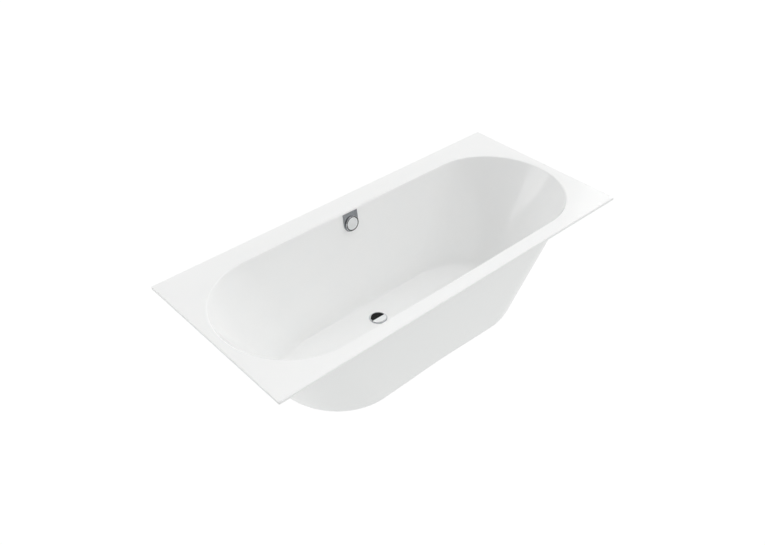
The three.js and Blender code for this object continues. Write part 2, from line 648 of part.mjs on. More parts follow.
function rotaryKnob() {
  const body = turned([
    [0, knobBack], [KNOB_R - 1, knobBack], [KNOB_R, knobBack + 1], [KNOB_R, knobFront - 2],
    [KNOB_R - 0.6, knobFront - 0.9], [KNOB_R - 2, knobFront - 0.3], [0, knobFront],
  ]);
  const bore = disc(SPINDLE_R + GAP, 0, spindleTip + GAP);
  return cut(body, bore, grubAt(disc(GRUB_R + GAP, 0, KNOB_R + 1)));
}
add(overflow, 'rotary_knob', rotaryKnob(), chrome());
add(overflow, 'knob_grub_screw', grubAt(disc(GRUB_R, SPINDLE_R + GAP, SPINDLE_R + 8)), stainless());

// Body behind the wall: a cup with a spigot for the overflow pipe and a port for the control cable
const bodyFront = -WALL - OVERFLOW_GASKET - 2 * GAP;
const pipeAxis = WALL + OVERFLOW_PIPE_CLEARANCE + SPIGOT_R;      // behind the inner face of the wall
const bodyBack = -pipeAxis - SPIGOT_R - 2;
const bodyFloor = bodyBack + OVERFLOW_CUP_WALL;
const cablePort = { x: CABLE_OFFSET, z: bodyFloor + CABLE_PORT_R, end: OVERFLOW_CUP_R + CABLE_PORT };
const spindleFoot = bodyBack + OVERFLOW_CUP_WALL;

const gasket = ring(OVERFLOW_CUP_R + 3, OVERFLOW_HOLE_R + 1, bodyFront + GAP, -WALL - GAP);
add(overflow, 'overflow_gasket', gasket, rubber());

function overflowBody() {
  const bore = OVERFLOW_CUP_R - OVERFLOW_CUP_WALL;
  const flangeBack = bodyFront - OVERFLOW_FLANGE;
  const cup = turned([
    [0, bodyBack], [OVERFLOW_CUP_R, bodyBack], [OVERFLOW_CUP_R, flangeBack], [OVERFLOW_CUP_R + 4, flangeBack],
    [OVERFLOW_CUP_R + 4, bodyFront], [0, bodyFront],
  ]);
  const hollow = disc(bore, bodyFloor, bodyFront + 1);
  const onPipe = (geometry) => alongBackY(geometry).translate(0, 0, -pipeAxis);
  const onCable = (geometry) => alongBackY(geometry).translate(cablePort.x, 0, cablePort.z);
  const spigot = onPipe(disc(SPIGOT_R, bore - 6, PORT));
  const spigotBore = onPipe(disc(SPIGOT_R - OVERFLOW_PIPE_WALL, bore - 12, PORT + 1));
  const cable = onCable(disc(CABLE_PORT_R, bore - 9, cablePort.end));
  const cableBore = onCable(disc(CABLE_R, bore - 13, cablePort.end + 1));
  const spindleBoss = disc(SPINDLE_R + 4, bodyFloor - 1, bodyFloor + 8);
  const onScrews = (radius, back, front) => (
    bothWays((x) => disc(radius, back, front).translate(x * SCREW_OFFSET, 0, 0))
  );
  const screwBosses = onScrews(SCREW_R + 3, bodyFloor - 1, bodyFront - 1);
  const screwBores = onScrews(SCREW_R + GAP, bodyFloor + 2, bodyFront);
  const spindleBore = disc(SPINDLE_R + GAP, spindleFoot - GAP, 0);
  const open = cut(join(cup, spigot, cable), hollow, spigotBore, cableBore);
  return cut(join(open, spindleBoss, ...screwBosses), spindleBore, ...screwBores);
}
add(overflow, 'overflow_body', overflowBody(), whitePlastic());
add(overflow, 'knob_spindle', disc(SPINDLE_R, spindleFoot, spindleTip), brass());

const spoolBore = SPINDLE_R + GAP;
const spoolBack = bodyFloor + 8 + 2 * GAP;
const spoolFront = spoolBack + SPOOL.width;
add(overflow, 'cable_spool', turned([
  [spoolBore, spoolBack], [SPOOL.radius, spoolBack], [SPOOL.radius, spoolBack + 1.5],
  [SPOOL.groove, spoolBack + 2.5], [SPOOL.groove, spoolFront - 2.5],
  [SPOOL.radius, spoolFront - 1.5], [SPOOL.radius, spoolFront],
  [spoolBore, spoolFront], [spoolBore, spoolBack],
]), blackPlastic());

for (const [name, side] of [['left', -1], ['right', 1]]) {
  const screw = turned([
    [0, plateFront - SCREW_LENGTH], [SCREW_R, plateFront - SCREW_LENGTH], [SCREW_R, plateFront + GAP],
    [4, plateFront + GAP], [3.2, plateFront + 1.9], [0, plateFront + 1.9],
  ]);
  add(overflow, `overflow_screw_${name}`, screw.translate(side * SCREW_OFFSET, 0, 0), stainless());
}

// ---- Overflow pipe, down behind the back wall and under the floor's edge to the waste -----------

const fromOverflow = (y) => new THREE.Vector3(0, -y, -pipeAxis).applyMatrix4(overflow.matrix);
const fromWaste = (y, z) => new THREE.Vector3(0, y, z).applyMatrix4(waste.matrix);
const pipeStart = PORT + GAP;
const pipeDrop = (RIM_TOP - OVERFLOW_DROP - BASIN_FLOOR - 60) / Math.cos(WALL_TILT) - pipeStart;
const backWall = outerOutlineAt(BASIN_DEPTH).width - FLOOR.width + WASTE_INSET;     // from the waste's axis
const pipeOffset = pipeAxis - WALL;

const overflowPipePath = new THREE.CatmullRomCurve3([
  ...[0, 0.1, 0.4, 0.7, 1].map((share) => fromOverflow(pipeStart + share * pipeDrop)),
  fromWaste(backWall + pipeOffset - 8, -3),
  fromWaste(backWall - 14, -OVERFLOW_PORT_LEVEL + 1),
  fromWaste(pipeStart + 16, -OVERFLOW_PORT_LEVEL),
  fromWaste(pipeStart, -OVERFLOW_PORT_LEVEL),
], false, 'centripetal');
add(bath, 'overflow_pipe', pipe(overflowPipePath, OVERFLOW_PIPE_R, OVERFLOW_PIPE_WALL, 18), whitePlastic());

// The nut's wide bore turns on the spigot and its narrow bore grips the pipe
function overflowNut() {
  const blank = unionNut(PORT, SPIGOT_R + GAP, OVERFLOW_NUT_LENGTH);
  const collar = ring(SPIGOT_R + 1, OVERFLOW_PIPE_R + 2 * GAP, PORT + GAP, PORT + OVERFLOW_NUT_LENGTH / 2);
  return join(blank, collar);
}
add(overflow, 'overflow_nut_upper', alongBackY(overflowNut()).translate(0, 0, -pipeAxis), greyPlastic());
add(waste, 'overflow_nut_lower', alongY(overflowNut()).translate(0, 0, -OVERFLOW_PORT_LEVEL), greyPlastic());

// ---- Feet ---------------------------------------------------------------------------------------

const railUnder = RAIL_TOP - RAIL.wall;
const weldNutBottom = railUnder - NUT_HEIGHT;

// A channel across the panel, with a nut welded into it over each stud
function footRail() {
  const { width, height, wall } = RAIL;
  const y = panelHalf.width;
  const channel = box(-width / 2, width / 2, -y, y, RAIL_TOP - height, RAIL_TOP);
  const groove = box(-width / 2 + wall, width / 2 - wall, -y - 1, y + 1, RAIL_TOP - height - 1, railUnder);
  const atFeet = (make) => bothWays((side) => make().translate(0, side * FOOT_Y, 0));
  const nuts = atFeet(() => hexagon(NUT_FLATS, weldNutBottom, RAIL_TOP - wall / 2));
  const studHoles = atFeet(() => disc(STUD_R + GAP, 0, RAIL_TOP + 1));
  const screwHoles = railScrewPlaces.map(([sx, sy]) => (
    disc(RAIL_SCREW.radius + GAP, 0, RAIL_TOP + 1).translate(sx, sy, 0)
  ));
  return cut(join(cut(channel, groove), ...nuts), ...studHoles, ...screwHoles);
}

function railScrew() {
  const { radius, head, depth } = RAIL_SCREW;
  const seat = railUnder - GAP;
  return turned([
    [0, seat - 2.5], [head - 1, seat - 2.5], [head, seat - 1.5], [head, seat], [radius, seat],
    [radius, PANEL_BOTTOM + depth - 1.5], [0, PANEL_BOTTOM + depth],
  ]);
}

// The stud's foot is a ball that snaps into the pad
const ballCentre = PAD_HEIGHT - 3;
const ball = (radius) => (
  new THREE.SphereGeometry(radius, 12, 8).rotateX(Math.PI / 2).translate(0, 0, ballCentre)
);

function footStud() {
  const hexBottom = PAD_HEIGHT + STUD_HEX.above;
  const hex = hexagon(STUD_HEX.flats, hexBottom, hexBottom + STUD_HEX.height);
  return join(ball(BALL_R - GAP), disc(STUD_R, ballCentre, RAIL_TOP + STUD_RISE), hex);
}

function footPad() {
  const body = turned([
    [0, 0], [PAD_R, 0], [PAD_R, 3], [PAD_R - 4, 5], [BALL_R + 4, PAD_HEIGHT], [0, PAD_HEIGHT],
  ]);
  return cut(body, ball(BALL_R));
}

function lockNut() {
  const top = weldNutBottom - GAP;
  return cut(hexagon(NUT_FLATS, top - LOCK_NUT_HEIGHT, top), disc(STUD_R + GAP, 0, top + 1));
}

for (const [side, x] of [['left', -FOOT_X], ['right', FOOT_X]]) {
  const rail = new THREE.Group();
  rail.position.x = x;
  frame.add(rail);
  add(rail, `foot_rail_${side}`, footRail(), galvanised());
  railScrewPlaces.forEach(([sx, sy], i) => {
    add(rail, `rail_screw_${side}_${i + 1}`, railScrew().translate(sx, sy, 0), stainless());
  });
  for (const [end, y] of [['front', -FOOT_Y], ['back', FOOT_Y]]) {
    const foot = new THREE.Group();
    foot.position.y = y;
    rail.add(foot);
    add(foot, `foot_stud_${side}_${end}`, footStud(), galvanised());
    add(foot, `foot_pad_${side}_${end}`, footPad(), blackPlastic());
    add(foot, `lock_nut_${side}_${end}`, lockNut(), galvanised());
  }
}

export default bath;
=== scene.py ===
# %% [markdown]
# # A built-in bathtub in white acrylic
#
# This bath is one formed sheet of acrylic: a flat rim, a sloping basin with half-elliptic ends, and a back
# that is stiffened with glass fibre. Chrome fittings sit in the basin, and a trap, a pipe and four levelling
# feet sit under it. The engineering model gives every piece its place. The cells below give each one its
# fine surface and its finish, working in metres.

import json
import math

import bmesh
import bpy
from mathutils import Matrix, Vector


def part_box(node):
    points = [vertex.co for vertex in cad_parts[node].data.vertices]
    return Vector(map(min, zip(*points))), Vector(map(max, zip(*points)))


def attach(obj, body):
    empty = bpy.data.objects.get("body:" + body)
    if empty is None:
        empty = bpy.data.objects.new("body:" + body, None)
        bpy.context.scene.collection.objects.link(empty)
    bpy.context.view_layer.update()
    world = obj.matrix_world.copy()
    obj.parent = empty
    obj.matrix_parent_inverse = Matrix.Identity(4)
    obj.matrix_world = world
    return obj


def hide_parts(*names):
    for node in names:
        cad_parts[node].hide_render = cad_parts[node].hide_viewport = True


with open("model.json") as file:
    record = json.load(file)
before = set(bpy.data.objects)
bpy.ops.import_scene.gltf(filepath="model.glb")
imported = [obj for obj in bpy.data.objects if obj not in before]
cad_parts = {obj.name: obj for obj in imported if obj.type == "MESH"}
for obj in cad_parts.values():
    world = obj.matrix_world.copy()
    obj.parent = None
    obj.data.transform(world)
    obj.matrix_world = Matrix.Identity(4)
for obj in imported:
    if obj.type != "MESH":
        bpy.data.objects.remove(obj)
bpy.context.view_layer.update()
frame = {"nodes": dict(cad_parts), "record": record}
joints = {joint["name"]: joint for joint in frame["record"]["behaviour"]["joints"]}

# %% [markdown]
# ## Where the fittings sit
#
# The waste is turned about an upright line through the floor, and the overflow about a line that leans back
# with the wall. Each gets a small frame of its own, so that its pieces can be drawn straight and then placed.

# %% Places of the bath, the waste and the overflow
MM = 0.001
shell_low, shell_high = (Vector(corner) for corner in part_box("tub_shell"))
FLOOR_THICKNESS = 9 * MM
BASIN_DEPTH = 482 * MM
RIM_TOP = shell_high.z
BASIN_FLOOR = shell_low.z + FLOOR_THICKNESS


def middle(node):
    low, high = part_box(node)
    return (Vector(low) + Vector(high)) / 2


waste_axis = middle("waste_washer_upper")
waste_place = Matrix.Translation((waste_axis.x, waste_axis.y, BASIN_FLOOR))
into_basin = -Vector(joints["knob_turn"]["axis"])
wall_tilt = math.atan2(into_basin.z, -into_basin.y)
leaning = Matrix.Rotation(math.pi / 2 - wall_tilt, 4, "X")
overflow_place = Matrix.Translation(joints["knob_turn"]["pos_m"]) @ leaning
print(f"waste axis at x {waste_axis.x:.3f}, y {waste_axis.y:.3f}")
print(f"the back wall leans {math.degrees(wall_tilt):.1f} degrees")

# %% [markdown]
# ## The camera
#
# A bath is shown best from over one corner, high enough to see its floor and low enough to see the slope of
# its outer wall. The lens is a little longer than normal, so the long sides hardly converge.

# %% Camera
rim_centre = Vector((0, 0, RIM_TOP))
camera_data = bpy.data.cameras.new("camera")
camera_data.lens = 39.65
camera_data.sensor_width = 36
camera_data.clip_end = 100
camera = bpy.data.objects.new("camera", camera_data)
bpy.context.scene.collection.objects.link(camera)
camera.location = rim_centre + Vector((-1.9138, -2.0090, 1.9756))
camera.rotation_euler = Vector((0.53144, 0.58550, -0.61217)).to_track_quat("-Z", "Y").to_euler()
bpy.context.scene.camera = camera
print("camera", [round(v, 3) for v in camera.location])

# %% [markdown]
# ## Three helpers for materials
#
# Colours are easier to choose as the hex values of a paint chart, but the renderer works in linear light, so
# one function turns one into the other. The second adds a node with its settings and its links in one call,
# and the third starts a material.


# %% Colour and node helpers
def linear(hex_colour):
    channels = [int(hex_colour[i : i + 2], 16) / 255 for i in (1, 3, 5)]
    return [c / 12.92 if c <= 0.04045 else ((c + 0.055) / 1.055) ** 2.4 for c in channels] + [1]


def add(tree, kind, inputs=(), output=0, **settings):
    """Adds a node, sets or links its inputs, and returns one of its outputs."""
    made = tree.nodes.new(kind)
    for name, value in settings.items():
        setattr(made, name, value)
    pairs = inputs.items() if isinstance(inputs, dict) else enumerate(inputs)
    for socket, value in pairs:
        if isinstance(value, bpy.types.NodeSocket):
            tree.links.new(value, made.inputs[socket])
        elif value is not None:
            made.inputs[socket].default_value = value
    return made.outputs[output]


def finish(name, base, roughness, **sockets):
    """A new material and its shader, with the values that are the same all over."""
    material = bpy.data.materials.new(name)
    material.use_nodes = True
    shader = material.node_tree.nodes["Principled BSDF"]
    shader.inputs["Base Color"].default_value = linear(base)
    shader.inputs["Roughness"].default_value = roughness
    for socket, value in sockets.items():
        shader.inputs[socket.replace("_", " ")].default_value = value
    return material, material.node_tree, shader


# Sockets of a Mix node that mixes colours: the pattern that blends, and the two tones
FACTOR, TONE_A, TONE_B = 0, 6, 7
MATH = "ShaderNodeMath"
print("mid grey is", [round(v, 3) for v in linear("#808080")])

# %% [markdown]
# ## Cast acrylic
#
# The basin is cast PMMA sheet, drawn into a mould while hot. Its face is glossy and pigmented all through.
# Drawing leaves a very faint ripple, a few centimetres long, which bends reflections a little, and cleaning
# leaves the gloss slightly uneven. Both are far too weak to see as marks, so they are drawn as soft noise.

# %% Acrylic and its reinforced back
acrylic, tree, shader = finish("Cast acrylic", "#FDFDFD", 0.11, IOR=1.49)
spot = add(tree, "ShaderNodeTexCoord", output=3)
ripple = add(tree, "ShaderNodeTexNoise", {"Vector": spot, "Scale": 14.0, "Detail": 2.0})
wear = add(tree, "ShaderNodeTexNoise", {"Vector": spot, "Scale": 45.0, "Detail": 5.0})
rough = add(tree, "ShaderNodeMapRange", [wear, 0.3, 0.7, 0.09, 0.15])
tree.links.new(rough, shader.inputs["Roughness"])
tones = {FACTOR: ripple, TONE_A: linear("#FCFDFD"), TONE_B: linear("#FEFEFD")}
tint = add(tree, "ShaderNodeMix", tones, 2, data_type="RGBA")
tree.links.new(tint, shader.inputs["Base Color"])
relief = add(tree, "ShaderNodeBump", {"Height": ripple, "Strength": 0.05, "Distance": 0.002})
tree.links.new(relief, shader.inputs["Normal"])

# The back is sprayed with polyester and chopped glass, then rolled: strands 30 mm long under a pale gelcoat.
fibre_back, tree, shader = finish("Glass fibre back", "#E8EAE9", 0.3, IOR=1.52)
spot = add(tree, "ShaderNodeTexCoord", output=3)
bend = add(tree, "ShaderNodeTexNoise", {"Vector": spot, "Scale": 30.0}, 1)
moved = add(tree, "ShaderNodeVectorMath", {0: spot, 1: bend}, operation="ADD")
strands = {"Vector": moved, "Scale": 40.0, "Distortion": 9.0, "Detail": 3.0}
strands = add(tree, "ShaderNodeTexWave", strands, 1)
tones = {FACTOR: strands, TONE_A: linear("#E5E7E6"), TONE_B: linear("#EBECEB")}
tint = add(tree, "ShaderNodeMix", tones, 2, data_type="RGBA")
tree.links.new(tint, shader.inputs["Base Color"])
relief = add(tree, "ShaderNodeBump", {"Height": strands, "Strength": 0.06, "Distance": 0.0006})
tree.links.new(relief, shader.inputs["Normal"])
print("made", acrylic.name, "and", fibre_back.name)

# %% [markdown]
# ## Chrome
#
# The fittings are brass, polished and then plated with nickel and a thin skin of chromium. The skin is a
# clean mirror with a cold tone. Wiping leaves hairlines about a tenth of a millimetre apart, too fine to
# show, so they are drawn ten times coarser and only change the roughness.

# %% Chrome, brass and steel
chrome, tree, shader = finish("Chromium plate", "#C6C9CD", 0.06, Metallic=1.0)
spot = add(tree, "ShaderNodeTexCoord", output=3)
squeezed = add(tree, "ShaderNodeMapping", {"Vector": spot, "Scale": (900.0, 90.0, 90.0)})
hairlines = add(tree, "ShaderNodeTexNoise", {"Vector": squeezed, "Scale": 1.0, "Detail": 4.0})
rough = add(tree, "ShaderNodeMapRange", [hairlines, 0.35, 0.7, 0.04, 0.12])
tree.links.new(rough, shader.inputs["Roughness"])

# The knob is brighter than the plate behind it and than plain chrome: its light colour is painted reflection,
# standing in for the bright things its face reflects.
knob_chrome_painted_light, tree, shader = finish("Chromium plate of the knob, painted lighter", "#F2F3F4", 0.1, Metallic=1.0)
spot = add(tree, "ShaderNodeTexCoord", output=3)
buffing = add(tree, "ShaderNodeTexNoise", {"Vector": spot, "Scale": 400.0, "Detail": 4.0})
rough = add(tree, "ShaderNodeMapRange", [buffing, 0.3, 0.7, 0.07, 0.15])
tree.links.new(rough, shader.inputs["Roughness"])

# The overflow plate is darker and softer than the knob. Its darker colour is painted reflection, standing in
# for the dark the plate reflects, and its real plating is a guess.
satin_and_painted_dark, tree, shader = finish("Chromium plate, soft gloss, painted dark", "#95989C", 0.16, Metallic=1.0)
spot = add(tree, "ShaderNodeTexCoord", output=3)
brushed = add(tree, "ShaderNodeMapping", {"Vector": spot, "Scale": (60.0, 900.0, 900.0)})
strokes = add(tree, "ShaderNodeTexNoise", {"Vector": brushed, "Scale": 1.0, "Detail": 3.0})
rough = add(tree, "ShaderNodeMapRange", [strokes, 0.3, 0.7, 0.12, 0.24])
tree.links.new(rough, shader.inputs["Roughness"])
# The darker grey of both tones is painted reflection; the strokes between them are brushing
tones = {FACTOR: strokes, TONE_A: linear("#909397"), TONE_B: linear("#9A9DA1")}
tint = add(tree, "ShaderNodeMix", tones, 2, data_type="RGBA")
tree.links.new(tint, shader.inputs["Base Color"])

# The plug's mirror is half dark and half light. A flat disc would only show the white wall, so this is a
# device of the look and not a measured shape: a bump leans the far half's reflection towards a dark sky.
POLISH_LEAN = math.radians(14)
POLISH_LINE = 3 * MM  # how far in front of the middle the two halves meet
polished, tree, shader = finish("Chromium plate, plug face", "#F0F1F2", 0.05, Metallic=1.0)
spot = add(tree, "ShaderNodeTexCoord", output=3)
across_plug = add(tree, "ShaderNodeSeparateXYZ", [spot], 1)
past_middle = add(tree, MATH, [across_plug, waste_axis.y - POLISH_LINE], operation="SUBTRACT")
far_half = add(tree, MATH, [past_middle, 0.0], operation="MAXIMUM")
lean = add(tree, MATH, [far_half, math.tan(POLISH_LEAN)], operation="MULTIPLY")
wiped = add(tree, "ShaderNodeMapping", {"Vector": spot, "Scale": (700.0, 80.0, 80.0)})
wiping = add(tree, "ShaderNodeTexNoise", {"Vector": wiped, "Scale": 1.0, "Detail": 3.0})
rough = add(tree, "ShaderNodeMapRange", [wiping, 0.35, 0.7, 0.03, 0.09])
tree.links.new(rough, shader.inputs["Roughness"])
relief = add(tree, "ShaderNodeBump", {"Height": lean, "Strength": 1.0, "Distance": 1.0})
tree.links.new(relief, shader.inputs["Normal"])

brass, tree, shader = finish("Turned brass", "#C9A55C", 0.28, Metallic=1.0)
spot = add(tree, "ShaderNodeTexCoord", output=3)
rings = add(tree, "ShaderNodeTexWave", {"Vector": spot, "Scale": 900.0}, 1, bands_direction="Z")
rough = add(tree, "ShaderNodeMapRange", [rings, 0.0, 1.0, 0.22, 0.36])
tree.links.new(rough, shader.inputs["Roughness"])

zinc, tree, shader = finish("Zinc plated steel", "#AEB4B6", 0.38, Metallic=1.0)
spot = add(tree, "ShaderNodeTexCoord", output=3)
spangle = add(tree, "ShaderNodeTexVoronoi", {"Vector": spot, "Scale": 160.0}, 1)
tones = {FACTOR: spangle, TONE_A: linear("#A2A9AC"), TONE_B: linear("#BFC4C5")}
tint = add(tree, "ShaderNodeMix", tones, 2, data_type="RGBA")
tree.links.new(tint, shader.inputs["Base Color"])
rough = add(tree, "ShaderNodeMapRange", [spangle, 0.0, 1.0, 0.3, 0.46])
tree.links.new(rough, shader.inputs["Roughness"])

stainless, tree, shader = finish("Stainless steel", "#B9BBBC", 0.3, Metallic=1.0)
spot = add(tree, "ShaderNodeTexCoord", output=3)
grain = add(tree, "ShaderNodeTexNoise", {"Vector": spot, "Scale": 700.0, "Detail": 3.0})
rough = add(tree, "ShaderNodeMapRange", [grain, 0.3, 0.7, 0.24, 0.38])
tree.links.new(rough, shader.inputs["Roughness"])
print("made", chrome.name, brass.name, zinc.name, stainless.name)

# %% [markdown]
# ## Plastics, rubber and plywood
#
# The hidden pipework is taken to be injection-moulded polypropylene. A spark-eroded mould gives it a fine,
# even grain of about half a millimetre, so one loop makes the plastics, which differ only in colour, gloss
# and grain.

# %% Moulded plastics and rubber
moulded = {}
for name, dark, light, gloss, grain_scale in (
    ("White polypropylene", "#DEDFDA", "#E8E8E3", 0.42, 1500.0),
    ("Grey polypropylene", "#7E8386", "#8B9093", 0.45, 1500.0),
    ("Black nylon", "#1F2022", "#292A2C", 0.5, 1800.0),
    ("Black rubber", "#060606", "#0D0D0E", 0.6, 900.0),
):
    made, tree, shader = finish(name, light, gloss)
    spot = add(tree, "ShaderNodeTexCoord", output=3)
    grain = add(tree, "ShaderNodeTexNoise", {"Vector": spot, "Scale": grain_scale, "Detail": 2.0})
    cloud = add(tree, "ShaderNodeTexNoise", {"Vector": spot, "Scale": 30.0})
    tones = {FACTOR: cloud, TONE_A: linear(dark), TONE_B: linear(light)}
    tint = add(tree, "ShaderNodeMix", tones, 2, data_type="RGBA")
    tree.links.new(tint, shader.inputs["Base Color"])
    rough = add(tree, "ShaderNodeMapRange", [grain, 0.3, 0.7, gloss - 0.06, gloss + 0.08])
    tree.links.new(rough, shader.inputs["Roughness"])
    relief = add(tree, "ShaderNodeBump", {"Height": grain, "Strength": 0.15, "Distance": 0.0002})
    tree.links.new(relief, shader.inputs["Normal"])
    moulded[name] = made

# Birch plywood, sealed with resin: long grain along the panel, and plies 1.5 mm thick on its edges
plywood, tree, shader = finish("Birch plywood", "#C8B085", 0.62)
spot = add(tree, "ShaderNodeTexCoord", output=3)
long_grain = add(tree, "ShaderNodeMapping", {"Vector": spot, "Scale": (4.0, 90.0, 90.0)})
figure = {"Vector": long_grain, "Scale": 1.0, "Detail": 6.0, "Distortion": 0.6}
figure = add(tree, "ShaderNodeTexNoise", figure)
plies = add(tree, "ShaderNodeTexWave", {"Vector": spot, "Scale": 105.0}, 1, bands_direction="Z")
tones = {FACTOR: figure, TONE_A: linear("#B79C74"), TONE_B: linear("#D9C4A0")}
wood = add(tree, "ShaderNodeMix", tones, 2, data_type="RGBA")
face = add(tree, "ShaderNodeMapRange", [plies, 0.0, 1.0, 0.75, 1.0])
tint = add(tree, "ShaderNodeVectorMath", {0: wood, "Scale": face}, operation="SCALE")
tree.links.new(tint, shader.inputs["Base Color"])
print("made", sorted(moulded), plywood.name)

# %% [markdown]
# ## Turning and casting pieces
#
# Most fittings are bodies of revolution. A profile drawn with sharp corners is softened first, because a real
# edge always has a small radius that catches light, and is then revolved into quads. The mesh is built
# already in its place, so the object itself stays at the origin.


# %% Profile, lathe and mesh helpers
def soften(profile, radius, closed=False, steps=4):
    """Rounds the corners of a profile of (x, y) points. An open profile keeps its two ends."""
    points = [Vector(p) for p in profile]
    count = len(points)
    rounded = []
    for i, point in enumerate(points):
        if not closed and i in (0, count - 1):
            rounded.append(point)
            continue
        before, after = points[i - 1] - point, points[(i + 1) % count] - point
        reach = min(radius, 0.45 * before.length, 0.45 * after.length)
        start, end = point + before.normalized() * reach, point + after.normalized() * reach
        for step in range(steps + 1):
            t = step / steps
            rounded.append(start * (1 - t) ** 2 + point * 2 * t * (1 - t) + end * t**2)
    return rounded


def new_piece(name, vertices, faces, place=Matrix.Identity(4), materials=(), sharp=30):
    mesh = bpy.data.meshes.new(name)
    mesh.from_pydata([tuple(v) for v in vertices], [], faces)
    return as_piece(name, mesh, place, materials, sharp)


def as_piece(name, mesh, place=Matrix.Identity(4), materials=(), sharp=30):
    """Cleans a mesh, points its faces outwards, smooths all but its edges, and makes it an object."""
    mesh.transform(place)
    cleaner = bmesh.new()
    cleaner.from_mesh(mesh)
    bmesh.ops.remove_doubles(cleaner, verts=cleaner.verts, dist=1e-6)
    bmesh.ops.dissolve_degenerate(cleaner, dist=1e-7, edges=cleaner.edges)
    bmesh.ops.recalc_face_normals(cleaner, faces=cleaner.faces)
    cleaner.to_mesh(mesh)
    cleaner.free()
    mesh.shade_smooth()
    mesh.set_sharp_from_angle(angle=math.radians(sharp))
    for material in materials:
        mesh.materials.append(material)
    piece = bpy.data.objects.new(name, mesh)
    bpy.context.scene.collection.objects.link(piece)
    return piece


def turned(name, profile, place, material, segments=96, closed=False, radius=0.4 * MM):
    """Revolves a profile of (radius, height) pairs in millimetres about Z."""
    line = soften([(r * MM, z * MM) for r, z in profile], radius, closed)
    vertices = [
        (p.x * math.cos(turn), p.x * math.sin(turn), p.y)
        for turn in (2 * math.pi * k / segments for k in range(segments))
        for p in line
    ]
    count = len(line)
    rows = range(count) if closed else range(count - 1)
    faces = []
    for k in range(segments):
        here, beyond = k * count, (k + 1) % segments * count
        for i in rows:
            up = (i + 1) % count
            faces.append((here + i, beyond + i, beyond + up, here + up))
    return new_piece(name, vertices, faces, place, [material])


def disc(radius, low, high):
    return [(0, low), (radius, low), (radius, high), (0, high)]


def ring(radius, bore, low, high):
    return [(bore, low), (radius, low), (radius, high), (bore, high)]


def combine(target, tool, operation):
    """Joins or cuts a piece with another, which is used up."""
    modifier = target.modifiers.new(operation, "BOOLEAN")
    modifier.operation = operation
    modifier.solver = "EXACT"
    modifier.object = tool
    modifier.material_mode = "TRANSFER"
    result = bpy.data.meshes.new_from_object(target.evaluated_get(bpy.context.evaluated_depsgraph_get()))
    target.modifiers.remove(modifier)
    target.data = result
    bpy.data.objects.remove(tool)


print("a square corner becomes", len(soften([(0, 0), (1, 0), (1, 1)], 0.1)), "points")

# %% [markdown]
# ## The basin's form
#
# The whole basin follows one rule. Its wall is straight from the rim down to the floor, ruled between two
# outlines that have straight sides and half-elliptic ends. A fillet joins wall and floor: tight along the
# sides, and growing to a wide sweep at the ends, where a bather's back rests. A lip rolls out into the rim.
#
# It could be sculpted, but a rule is exact and can be changed. A node tree lays a grid round the basin, works
# out for each point which outline station and which part of the section it is on, and puts it there.

# %% Node tree: a grid that takes the basin's form
form = bpy.data.node_groups.new("Basin form", "GeometryNodeTree")
form.interface.new_socket("Geometry", in_out="OUTPUT", socket_type="NodeSocketGeometry")
FORM_INPUTS = {
    "End steps": "Int", "Side steps": "Int", "Lip steps": "Int", "Wall steps": "Int", "Fillet steps": "Int",
    "Centre": "Vector", "Top length": "Float", "Top width": "Float", "Top reach": "Float",
    "Floor length": "Float", "Floor width": "Float", "Floor reach": "Float", "Depth": "Float",
    "Side radius": "Float", "End radius": "Float", "Lip radius": "Float", "Rise": "Float", "Skin": "Material",
}
for name, kind in FORM_INPUTS.items():
    form.interface.new_socket(name, in_out="INPUT", socket_type=f"NodeSocket{kind}")
given = form.nodes.new("NodeGroupInput").outputs

# Rows down the section: lid centre, lid edge, lip, wall, fillet, base centre
lip_end = add(form, MATH, [given["Lip steps"], 2], operation="ADD")
fillet_start = add(form, MATH, [lip_end, given["Wall steps"]], operation="ADD")
last_row = add(form, MATH, [fillet_start, given["Fillet steps"]], operation="ADD")
last_row = add(form, MATH, [last_row, 1], operation="ADD")
around = add(form, MATH, [given["End steps"], given["Side steps"]], operation="ADD")
around = add(form, MATH, [around, 2], operation="MULTIPLY")
grid = form.nodes.new("GeometryNodeMeshGrid")
columns = add(form, MATH, [around, 1], operation="ADD")
form.links.new(columns, grid.inputs["Vertices X"])
rows = add(form, MATH, [last_row, 1], operation="ADD")
form.links.new(rows, grid.inputs["Vertices Y"])
spot = add(form, "GeometryNodeInputPosition")
split = form.nodes.new("ShaderNodeSeparateXYZ")
form.links.new(spot, split.inputs[0])
column = add(form, MATH, [split.outputs[0], 0.5], operation="ADD")
column = add(form, MATH, [column, around], operation="MULTIPLY")
column = add(form, MATH, [column], operation="ROUND")
row = add(form, MATH, [split.outputs[1], 0.5], operation="ADD")
row = add(form, MATH, [row, last_row], operation="MULTIPLY")
row = add(form, MATH, [row], operation="ROUND")

# Where a column stands: which end of the bath, how far round that end, or how far along a side
half = add(form, MATH, [given["End steps"], given["Side steps"]], operation="ADD")
step = add(form, MATH, [column, half], operation="MODULO")
end = add(form, MATH, [column, half], operation="DIVIDE")
end = add(form, MATH, [end], operation="FLOOR")
end = add(form, MATH, [end, 2], operation="MODULO")
end = add(form, MATH, [end, 2], operation="MULTIPLY")
end = add(form, MATH, [1, end], operation="SUBTRACT")
round_end = add(form, MATH, [step, given["End steps"]], operation="MINIMUM")
round_end = add(form, MATH, [round_end, given["End steps"]], operation="DIVIDE")
past_end = add(form, MATH, [step, given["End steps"]], operation="SUBTRACT")
past_end = add(form, MATH, [past_end, 0], operation="MAXIMUM")
along_side = add(form, MATH, [past_end, given["Side steps"]], operation="DIVIDE")
turn = add(form, MATH, [round_end, 0.5], operation="SUBTRACT")
turn = add(form, MATH, [turn, math.pi], operation="MULTIPLY")
along = add(form, MATH, [turn], operation="COSINE")
across = add(form, MATH, [turn], operation="SINE")
